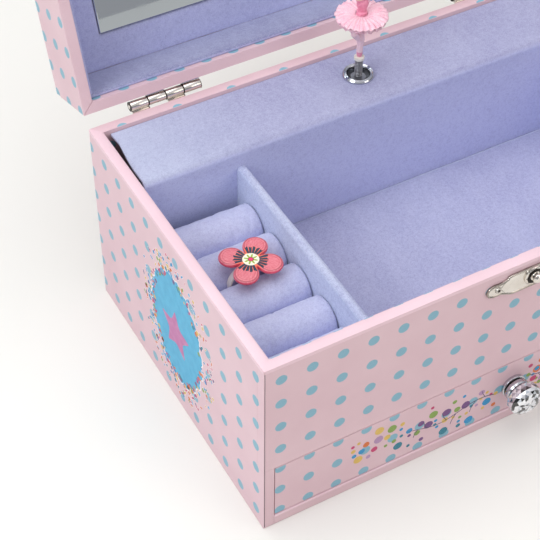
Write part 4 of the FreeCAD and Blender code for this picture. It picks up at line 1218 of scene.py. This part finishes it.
# ------------------------------------------------------------------ knob
def crystal():
    yf = bx("drawer_front")[0][1]
    (x0, y0, z0), (x1, y1, z1) = bx("knob_crystal")
    cx, cz = (x0 + x1) / 2, (z0 + z1) / 2
    kc = bx("knob_collar")[0][1]
    base = -(kc - yf)                     # height of the collar above the drawer front
    top = -(y0 - yf)
    Rm = (x1 - x0) / 2
    mats = []
    # painted reflection: some facets get a near-white material as a painted highlight and some a near-black one as a
    # painted dark reflection
    for nm, c, ro, me in (("crystal_bright", srgb(246, 247, 250), 0.12, 0.55), ("crystal_painted_dark_reflection", srgb(14, 15, 18), 0.05, 0.0), ("crystal_grey", srgb(150, 154, 160), 0.10, 1.0), ("crystal_clear", srgb(206, 212, 220), 0.04, 0.85)):
        g = G(nm)
        P = g.pos()
        f = g.noise(P, 900.0, 2.0)
        cl = g.noise(P, 240.0, 2.0)
        mats.append(g.set(color=g.mix(g.lin(cl, 0.3, 0.7, 0.0, 0.5), c, tuple(q * 0.8 for q in c[:3]) + (1.0,)), rough=g.lin(f, 0.3, 0.7, ro * 0.7, ro * 1.4), metal=me, coat=1.0, coat_rough=0.02, spec=0.8))
    N = 18
    tiers = [(5.35, base), (6.6, base + 0.5), (Rm * 0.955, base + 1.5), (Rm * 0.99, base + 3.2), (Rm * 0.985, base + 4.9), (Rm * 0.90, base + 6.1), (Rm * 0.74, base + 7.0), (Rm * 0.56, top - 0.25), (Rm * 0.36, top)]
    verts, faces, mi = [], [], []
    for i, (r, h) in enumerate(tiers):
        off = 0.5 * (i % 2)
        for k in range(N):
            a = 2 * pi * (k + off) / N
            verts.append((cx + r * cos(a), yf - h, cz + r * sin(a)))
    # facets are given bright, dark, grey and clear materials by a fixed hash: painted highlights and painted dark
    # reflections
    rng = random.Random(5)
    for i in range(len(tiers) - 1):
        for k in range(N):
            k1 = (k + 1) % N
            A, A1, B, B1 = i * N + k, i * N + k1, (i + 1) * N + k, (i + 1) * N + k1
            t2 = [(A, A1, B), (B, A1, B1)] if i % 2 == 0 else [(A, B1, B), (A, A1, B1)]
            for q, tri in enumerate(t2):
                faces.append(tri)
                hsh = (k * 7 + i * 13 + q * 5 + (k * i) % 3) % 11
                if i < 2:
                    m_ = 2 if q else 3
                elif i >= 4:
                    m_ = 1 if hsh in (0, 3, 5, 8) else (0 if hsh not in (2, 9) else 3)
                else:
                    m_ = (0, 3, 2, 1)[min(3, int(rng.random() * 3.5))] if i == 3 else (3 if q else 0)
                mi.append(m_)
    c0 = len(verts)
    verts.append((cx, yf - base, cz))
    verts.append((cx, yf - top - 0.02, cz))
    for k in range(N):
        k1 = (k + 1) % N
        faces.append((k, k1, c0))
        mi.append(2)
        faces.append(((len(tiers) - 1) * N + k, (len(tiers) - 1) * N + k1, c0 + 1))
        mi.append((0, 3, 0, 2, 0, 0, 3, 1)[k % 8])
    o = obj("knob_crystal_cut", verts, faces, mats, False)
    for p, q in zip(o.data.polygons, mi):
        p.material_index = q
    return grab(o, "drawer", "knob_crystal", slot="crystal")


crystal()


# ------------------------------------------------------------------ pressed borders on the clasp plates
def plate_border(name, plate, up, body, opened):
    """a raised bead just inside the edge of the plate, painted darker than the plate as painted shade and a painted
    dark reflection
    """
    yf = -HD
    if opened:
        zc = 107.0
    else:
        (x0, y0, z0), (x1, y1, z1) = bx(plate)
        zc = z0 + 5.6
    pts = [(-22.2, 0), (-21.3, up * 2.2), (-19.0, up * 3.1), (-15.4, up * 3.0), (-12.6, up * 4.0), (-10.6, up * 5.2), (10.6, up * 5.2), (12.6, up * 4.0), (15.4, up * 3.0), (19.0, up * 3.1), (21.3, up * 2.2), (22.2, 0),
           (21.3, -up * 2.2), (19.0, -up * 3.1), (15.4, -up * 3.2), (12.2, -up * 4.6), (9.0, -up * 5.6), (-9.0, -up * 5.6), (-12.2, -up * 4.6), (-15.4, -up * 3.2), (-19.0, -up * 3.1), (-21.3, -up * 2.2)]
    P_ = [Vector(p) for p in pts]
    n_ = len(P_)
    fine = []
    for i in range(n_):
        p0, p1, p2, p3 = P_[i - 1], P_[i], P_[(i + 1) % n_], P_[(i + 2) % n_]
        steps = max(3, int((p2 - p1).length / 0.8))
        for k in range(steps):
            t = k / steps
            t0, t1 = (p2 - p0) * 0.32, (p3 - p1) * 0.32
            if (p2 - p1).length > 12:
                t0 = t1 = (p2 - p1)
            h00, h10, h01, h11 = 2 * t ** 3 - 3 * t * t + 1, t ** 3 - 2 * t * t + t, -2 * t ** 3 + 3 * t * t, t ** 3 - t * t
            fine.append(h00 * p1 + h10 * t0 + h01 * p2 + h11 * t1)
    m_ = len(fine)
    rings = []
    for i in range(m_):
        d = (fine[(i + 1) % m_] - fine[i - 1]).normalized()
        inn = Vector((-d.y, d.x))
        if inn.dot(fine[i]) > 0:
            inn = -inn
        prof = [(-0.02, 0.0), (-0.06, 0.55), (0.05, 0.95), (0.32, 1.16), (0.62, 1.05), (0.85, 0.84), (0.95, 0.70)]
        rings.append([(fine[i].x + inn.x * u, yf - h, zc + fine[i].y + inn.y * u) for u, h in prof])
    k_ = len(rings[0])
    verts = [p for r in rings for p in r]
    faces = []
    for i in range(m_):
        j2 = (i + 1) % m_
        for k in range(k_):
            k1 = (k + 1) % k_
            faces.append((i * k_ + k, i * k_ + k1, j2 * k_ + k1, j2 * k_ + k))
    o = obj(name, verts, faces, M_NICKEL_SHADED_BEAD, True, 60)
    if opened:
        at_open(o.data)
    return grab(o, body, slot="nickel")


# painted shade: the bead's material is a darker copy of the nickel
M_NICKEL_SHADED_BEAD = metal("nickel_bead_painted_shade", srgb(186, 179, 170), 0.2, 0.9, srgb(132, 126, 118))
plate_border("clasp_plate_border", "clasp_plate", 1, "case", False)
plate_border("clasp_upper_border", "clasp_upper_plate", -1, "lid", True)


def paint_recess_shade():
    """dark rings and discs as painted shade: round the stud, in the nail holes, in the knob collar's grooves, and in
    the gaps between the hinge knuckles
    """
    (x0, y0, z0), (x1, y1, z1) = bx("clasp_stud")
    zc = (z0 + z1) / 2
    # painted shade round the stud
    o = lathe("clasp_stud_ring", [(2.0, 1.66), (2.5, 1.74), (3.6, 1.76), (4.25, 1.66), (4.55, 1.4), (4.3, 1.2), (2.0, 1.2), (2.0, 1.66)], (0, -HD, zc), (0, -1, 0), M_RECESS_SHADE, 8, 20)
    grab(o, "case", slot="nickel")
    (x0, y0, z0), (x1, y1, z1) = bx("clasp_nails")
    rn = (z1 - z0) / 2
    # painted shade in the nail holes
    for nm, zc, yt, body in (("clasp_nail_pits", (z0 + z1) / 2, y0, "case"), ("clasp_upper_nail_pits", 107.0, y0, "lid")):
        verts, faces = [], []
        for xc in (x0 + rn, x1 - rn):
            b = len(verts)
            for r, h in ((0.45, -0.25), (0.62, 0.0), (0.56, 0.05), (0.3, 0.06)):
                for k in range(20):
                    t = 2 * pi * k / 20
                    verts.append((xc + r * cos(t), yt - h, zc + r * sin(t)))
            for i in range(3):
                for k in range(20):
                    k1 = (k + 1) % 20
                    faces.append((b + i * 20 + k, b + i * 20 + k1, b + (i + 1) * 20 + k1, b + (i + 1) * 20 + k))
            faces.append([b + 60 + k for k in range(20)])
            faces.append([b + 19 - k for k in range(20)])
        o = obj(nm, verts, faces, M_RECESS_SHADE, True, 40)
        if body == "lid":
            at_open(o.data)
        grab(o, body, slot="nickel")
    # painted shade in the knob collar's grooves
    (x0, y0, z0), (x1, y1, z1) = bx("knob_collar")
    o = lathe("knob_collar_grooves", [(5.0, 1.78), (5.32, 1.86), (5.34, 2.1), (5.32, 2.62), (5.0, 2.7), (5.0, 4.95), (5.42, 4.98), (5.36, 5.36), (5.0, 5.38), (4.8, 4.0), (4.8, 2.0), (5.0, 1.78)], ((x0 + x1) / 2, y1, (z0 + z1) / 2), (0, -1, 0), M_RECESS_SHADE, 64, 30)
    grab(o, "drawer", slot="chrome")
    # painted shade in the gaps between the hinge knuckles
    (x0, y0, z0), (x1, y1, z1) = bx("hinge_pins")
    yc, zc = (y0 + y1) / 2, (z0 + z1) / 2
    for s_, nm in ((-1, "l"), (1, "r")):
        verts, faces = [], []
        for q in range(5):
            xc = s_ * 82.45 + (q - 2) * 33.7 / 4
            w_ = 0.30 if 0 < q < 4 else 0.12
            if q in (0, 4):
                xc += (0.10 if q == 0 else -0.10)
            prof = [(0.9, -w_), (2.125, -w_), (2.15, 0.0), (2.125, w_), (0.9, w_)]
            b = len(verts)
            for r, h in prof:
                for k in range(36):
                    t = 2 * pi * k / 36
                    verts.append((xc + h, yc + r * cos(t), zc + r * sin(t)))
            m_ = len(prof)
            for i in range(m_):
                j2 = (i + 1) % m_
                for k in range(36):
                    k1 = (k + 1) % 36
                    faces.append((b + i * 36 + k, b + i * 36 + k1, b + j2 * 36 + k1, b + j2 * 36 + k))
        o = obj("hinge_gaps_" + nm, verts, faces, M_RECESS_SHADE, True, 40)
        grab(o, "case", slot="nickel")


paint_recess_shade()


# ------------------------------------------------------------------ coil spring under the dancer
def coil():
    (x0, y0, z0), (x1, y1, z1) = bx("dancer_spring")
    cx, cy = (x0 + x1) / 2, (y0 + y1) / 2
    R_, w_, turns = 1.62, 0.24, 11
    n_ = turns * 28
    rings = []
    for i in range(n_ + 1):
        t = i / n_
        a = 2 * pi * turns * t
        z = z0 + w_ + (z1 - z0 - 2 * w_) * t
        e = min(t, 1 - t) * turns
        c = Vector((cx + R_ * cos(a), cy + R_ * sin(a), z))
        tan = Vector((-sin(a), cos(a), 0.13)).normalized()
        out = Vector((cos(a), sin(a), 0))
        up = tan.cross(out)
        rings.append([tuple(c + (out * cos(q) + up * sin(q)) * w_) for q in (2 * pi * k / 8 for k in range(8))])
    o = loft("dancer_coil", rings, M_STEEL, angle=80)
    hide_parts("dancer_spring")
    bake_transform(o)
    return o


coil()


# ------------------------------------------------------------------ dancer
def doll_paint():
    g = G("dancer_paint")
    P = g.pos()
    z = g.m("MULTIPLY", g.sep(P)[2], 1000.0)
    z = g.m("ADD", z, g.m("MULTIPLY", g.m("SUBTRACT", g.noise(P, 500.0, 1.0), 0.5), 0.25))
    f = g.noise(P, 1300.0, 3.0)
    skin = g.mix(g.lin(f, 0.3, 0.7, 0.0, 1.0), srgb(244, 206, 184), srgb(249, 217, 198))
    tights = g.mix(g.lin(f, 0.3, 0.7, 0.0, 1.0), srgb(246, 205, 212), srgb(250, 218, 222))
    rose = g.mix(g.lin(f, 0.3, 0.7, 0.0, 1.0), srgb(228, 128, 158), srgb(240, 152, 178))
    satin = g.mix(g.lin(f, 0.3, 0.7, 0.0, 1.0), srgb(232, 140, 164), srgb(244, 168, 186))
    c = g.mix(g.step(z, 109.6, 109.75), satin, tights)
    c = g.mix(g.step(z, 126.6, 126.8), c, rose)
    c = g.mix(g.step(z, 137.3, 137.5), c, skin)
    return g.set(color=c, rough=g.lin(f, 0.3, 0.7, 0.34, 0.48), normal=g.bump(f, 0.05, 0.00006), sss=0.0, coat=0.15, coat_rough=0.3)


def blob_mesh(name, cones, mat, voxel, smooth=4):
    """round-ended limbs joined into one skin"""
    bm = bmesh.new()
    for p0, r0, p1, r1 in cones:
        p0, p1 = Vector(p0), Vector(p1)
        d = p1 - p0
        L = max(d.length, 1e-6)
        q = d.to_track_quat("Z", "Y").to_matrix().to_4x4() if d.length > 1e-6 else Matrix.Identity(4)
        n_, m_ = 20, 10
        base = len(bm.verts)
        rows = []
        for i in range(m_ + 1):
            t = -pi / 2 + pi / 2 * i / m_
            rows.append((r0 * cos(t), r0 * sin(t)))
        for i in range(m_ + 1):
            t = pi / 2 * i / m_
            rows.append((r1 * cos(t), L + r1 * sin(t)))
        ring_v = []
        for r, h in rows:
            if r < 1e-5:
                ring_v.append([bm.verts.new(q @ Vector((0, 0, h)) + p0)])
            else:
                ring_v.append([bm.verts.new(q @ Vector((r * cos(2 * pi * k / n_), r * sin(2 * pi * k / n_), h)) + p0) for k in range(n_)])
        for A, B in zip(ring_v, ring_v[1:]):
            for k in range(n_):
                k1 = (k + 1) % n_
                if len(A) == 1 and len(B) == 1:
                    continue
                if len(A) == 1:
                    bm.faces.new((A[0], B[k1], B[k]))
                elif len(B) == 1:
                    bm.faces.new((A[k], A[k1], B[0]))
                else:
                    bm.faces.new((A[k], A[k1], B[k1], B[k]))
    for v in bm.verts:
        v.co *= MM
    me = bpy.data.meshes.new(name)
    bm.to_mesh(me)
    bm.free()
    o = bpy.data.objects.new(name, me)
    SC.collection.objects.link(o)
    r = o.modifiers.new("r", "REMESH")
    r.mode, r.voxel_size = "VOXEL", voxel * MM
    s = o.modifiers.new("s", "SMOOTH")
    s.iterations, s.factor = smooth, 0.5
    apply_mods(o)
    o.data.materials.clear()
    o.data.materials.append(mat)
    o.data.polygons.foreach_set("use_smooth", [True] * len(o.data.polygons))
    return o


def dancer():
    (x0, y0, z0), (x1, y1, z1) = bx("dancer_figure")
    Y = (bx("dancer_peg")[0][1] + bx("dancer_peg")[1][1]) / 2
    P_ = lambda x, y, z: (x, Y + y, z)
    c = []
    # standing leg on the peg, and the other foot drawn up to the knee
    c += [(P_(0, 0, 107.6), 1.25, P_(0, 0, 110.2), 1.45), (P_(0, 0, 110.2), 1.45, P_(0, -0.1, 113.0), 1.35), (P_(0, -0.1, 113.0), 1.35, P_(0.1, 0.2, 116.4), 1.95),
          (P_(0.1, 0.2, 116.4), 1.95, P_(0.1, 0, 119.2), 1.55), (P_(0.1, 0, 119.2), 1.55, P_(0.4, 0, 125.5), 2.35)]
    c += [(P_(-0.9, 0, 126.0), 2.2, P_(-4.6, -2.0, 121.6), 1.5), (P_(-4.6, -2.0, 121.6), 1.45, P_(-1.9, -1.2, 118.0), 1.25), (P_(-1.9, -1.2, 118.0), 1.0, P_(-0.6, -1.5, 116.2), 0.72)]
    # hips, waist, chest
    c += [(P_(-0.7, 0, 127.0), 2.6, P_(0.7, 0, 127.0), 2.6), (P_(-0.4, 0, 128.6), 2.4, P_(0.4, 0, 128.6), 2.4), (P_(0, 0, 128.6), 2.3, P_(0, 0, 131.4), 1.85), (P_(0, 0, 131.4), 1.85, P_(0, -0.1, 134.0), 2.3),
          (P_(-0.8, -0.2, 134.8), 1.95, P_(0.8, -0.2, 134.8), 1.95), (P_(-1.7, 0, 136.9), 1.25, P_(1.7, 0, 136.9), 1.25), (P_(0, 0.1, 137.0), 1.4, P_(0, 0, 141.6), 0.95)]
    # head, with a small plain nose and chin
    c += [(P_(0, 0.15, 145.3), 2.95, P_(0, 0, 144.6), 2.75), (P_(0, -1.1, 142.9), 1.35, P_(0, -0.9, 143.2), 1.45), (P_(0, -2.8, 144.5), 0.34, P_(0, -2.7, 145.1), 0.28)]
    for s in (-1, 1):
        c += [(P_(s * 2.0, 0, 137.3), 1.05, P_(s * 7.1, -0.2, 143.2), 0.82), (P_(s * 7.1, -0.2, 143.2), 0.8, P_(s * 6.2, -0.4, 149.4), 0.66), (P_(s * 6.2, -0.4, 149.4), 0.62, P_(s * 3.0, -0.6, 152.6), 0.5),
              (P_(s * 3.0, -0.6, 152.6), 0.46, P_(s * 1.2, -0.7, 153.3), 0.36)]
    body = blob_mesh("dancer_body", c, doll_paint(), 0.22, 3)
    grab(body, "dancer", "dancer_figure", slot="skin")
    g = G("dancer_hair")
    Pp = g.pos()
    st = g.noise(g.v("MULTIPLY", Pp, (2.0, 1.0, 0.5)), 1500.0, 3.0, 0.6)
    hair_m = g.set(color=g.mix(g.lin(st, 0.3, 0.7, 0.0, 1.0), srgb(92, 58, 38), srgb(132, 88, 58)), rough=0.4, normal=g.bump(st, 0.35, 0.00012))
    hair = blob_mesh("dancer_hair", [(P_(0, 0.75, 145.75), 2.98, P_(0, 0.9, 145.2), 2.9), (P_(0, 1.1, 148.9), 1.15, P_(0, 1.1, 149.5), 1.1)], hair_m, 0.18, 2)
    grab(hair, "dancer", slot="skin")
    # face of a plain painted doll: two closed lashes, brows and a small mouth
    def mark(name, pts, r, mat):
        rings = []
        for i, p in enumerate(pts):
            t = (Vector(pts[min(i + 1, len(pts) - 1)]) - Vector(pts[max(i - 1, 0)])).normalized()
            a = t.cross(Vector((0, -1, 0))).normalized()
            b = t.cross(a)
            k_ = r * (0.35 + 0.65 * sin(pi * (i + 0.3) / (len(pts) - 0.4)))
            rings.append([tuple(Vector(p) + (a * cos(q) + b * sin(q)) * k_) for q in (2 * pi * k / 6 for k in range(6))])
        o = loft(name, rings, mat, angle=80)
        return grab(o, "dancer", slot="skin")
    def on_face(x, z, lift=0.02):
        hit, loc, nn, _ = body.ray_cast(Vector((x * MM, (Y - 12) * MM, z * MM)), Vector((0, 1, 0)))
        return (x, loc.y * 1000 - lift, z) if hit else (x, Y - 2.9, z)
    dark = ink("face_dark", srgb(70, 44, 36))
    lip = ink("face_lip", srgb(204, 84, 96))
    for s in (-1, 1):
        mark("dancer_eye_%s" % ("l" if s < 0 else "r"), [on_face(s * (0.62 + 0.82 * t), 145.05 - 0.24 * sin(pi * t)) for t in (k / 6 for k in range(7))], 0.085, dark)
        mark("dancer_brow_%s" % ("l" if s < 0 else "r"), [on_face(s * (0.60 + 0.95 * t), 146.0 + 0.2 * sin(pi * t)) for t in (k / 6 for k in range(7))], 0.055, dark)
    mark("dancer_mouth", [on_face(-0.42 + 0.84 * t, 143.35 - 0.14 * sin(pi * t)) for t in (k / 6 for k in range(7))], 0.10, lip)
    # narrow ribbon round the bun, and a sash at the waist
    rib = ink("dancer_ribbon", srgb(240, 150, 178))
    o = lathe("dancer_bun_ribbon", [(0.95, 0.0), (1.12, 0.12), (1.12, 0.42), (0.95, 0.55), (0.9, 0.28), (0.95, 0.0)], P_(0, 1.1, 147.75), (0, 0, 1), rib, 40, 50)
    grab(o, "dancer", slot="tulle")
    o = lathe("dancer_sash", [(1.75, 0.0), (2.25, 0.1), (2.2, 0.75), (1.95, 0.95), (1.6, 0.5), (1.75, 0.0)], P_(0, 0, 130.4), (0, 0, 1), rib, 48, 50)
    grab(o, "dancer", slot="tulle")


dancer()


def tutu():
    (x0, y0, z0), (x1, y1, z1) = bx("dancer_tutu")
    Y = (y0 + y1) / 2
    g = G("tulle")
    P = g.pos()
    vo = g.n("ShaderNodeTexVoronoi", feature="DISTANCE_TO_EDGE")
    g.put(vo.inputs["Vector"], P)
    vo.inputs["Scale"].default_value = 1900.0
    f = g.noise(P, 300.0, 2.0)
    holes = g.lin(vo.outputs["Distance"], 0.06, 0.16, 1.0, 0.0)
    col = g.mix(g.lin(f, 0.3, 0.7, 0.0, 1.0), srgb(244, 176, 198), srgb(252, 208, 220))
    col = g.mix(g.m("MULTIPLY", holes, 0.5), col, srgb(255, 234, 240))
    g.set(sheen=0.5, sheen_rough=0.3, sheen_tint=srgb(255, 226, 236))
    tul = g.set(color=col, rough=g.lin(f, 0.3, 0.7, 0.5, 0.75), normal=g.bump(holes, 0.5, 0.00008), spec=0.25)
    for L in range(3):
        rng = random.Random(70 + L)
        n_, m_ = 360, 18
        waves = (26, 31, 23)[L]
        rout = (11.5, 11.1, 10.4)[L]
        ph = rng.random() * 6
        amp = [0.75 + 0.5 * rng.random() for _ in range(waves)]
        verts, faces = [], []
        for j_ in range(m_ + 1):
            t = j_ / m_
            for k in range(n_):
                a = 2 * pi * k / n_
                w_ = a * waves / (2 * pi)
                i0 = int(w_) % waves
                am = amp[i0] * (1 - (w_ % 1)) + amp[(i0 + 1) % waves] * (w_ % 1)
                r = 2.55 + (rout - 2.55) * t
                r += 0.22 * t * sin(a * waves * 0.5 + ph)
                r = min(r, 11.75)
                zb = 129.6 - 0.35 * L - (1.1 + 0.75 * L) * t ** 1.6 + 0.6 * sin(pi * t * 0.9)
                z = zb + 0.62 * am * (t ** 0.9) * sin(a * waves + ph + 0.5 * sin(3 * a + L))
                da = 0.035 * t * sin(2 * (a * waves + ph))
                verts.append((r * cos(a + da), Y + r * sin(a + da), z))
        for j_ in range(m_):
            for k in range(n_):
                k1 = (k + 1) % n_
                faces.append((j_ * n_ + k, j_ * n_ + k1, (j_ + 1) * n_ + k1, (j_ + 1) * n_ + k))
        o = obj("dancer_tutu_%d" % (L + 1), verts, faces, tul, True)
        s = o.modifiers.new("s", "SOLIDIFY")
        s.thickness, s.offset = 0.09 * MM, 0.0
        apply_mods(o)
        ar = sum(p.area for p in o.data.polygons) / 2
        grab(o, "dancer", *(["dancer_tutu"] if L == 0 else []), slot="tulle")


tutu()


# ------------------------------------------------------------------ drawer lining
def drawer_velour():
    (x0, y0, z0), (x1, y1, z1) = bx("drawer_lining")
    nx_, ny_ = 120, 76
    verts, faces = [], []
    for j_ in range(ny_ + 1):
        for i in range(nx_ + 1):
            x, y = x0 + (x1 - x0) * i / nx_, y0 + (y1 - y0) * j_ / ny_
            e = min(x - x0, x1 - x, y - y0, y1 - y)
            verts.append((x, y, z1 - 0.5 * math.exp(-e / 0.7) + 0.10 * nz(x, y, 3, 0.05, 2)))
    for j_ in range(ny_):
        for i in range(nx_):
            a = j_ * (nx_ + 1) + i
            faces.append((a, a + 1, a + nx_ + 2, a + nx_ + 1))
    o = obj("drawer_velour", verts, faces, M_VEL)
    s = o.modifiers.new("s", "SOLIDIFY")
    s.thickness, s.offset = 0.6 * MM, -1.0
    apply_mods(o)
    grab(o, "drawer", "drawer_lining", slot="velour")


drawer_velour()
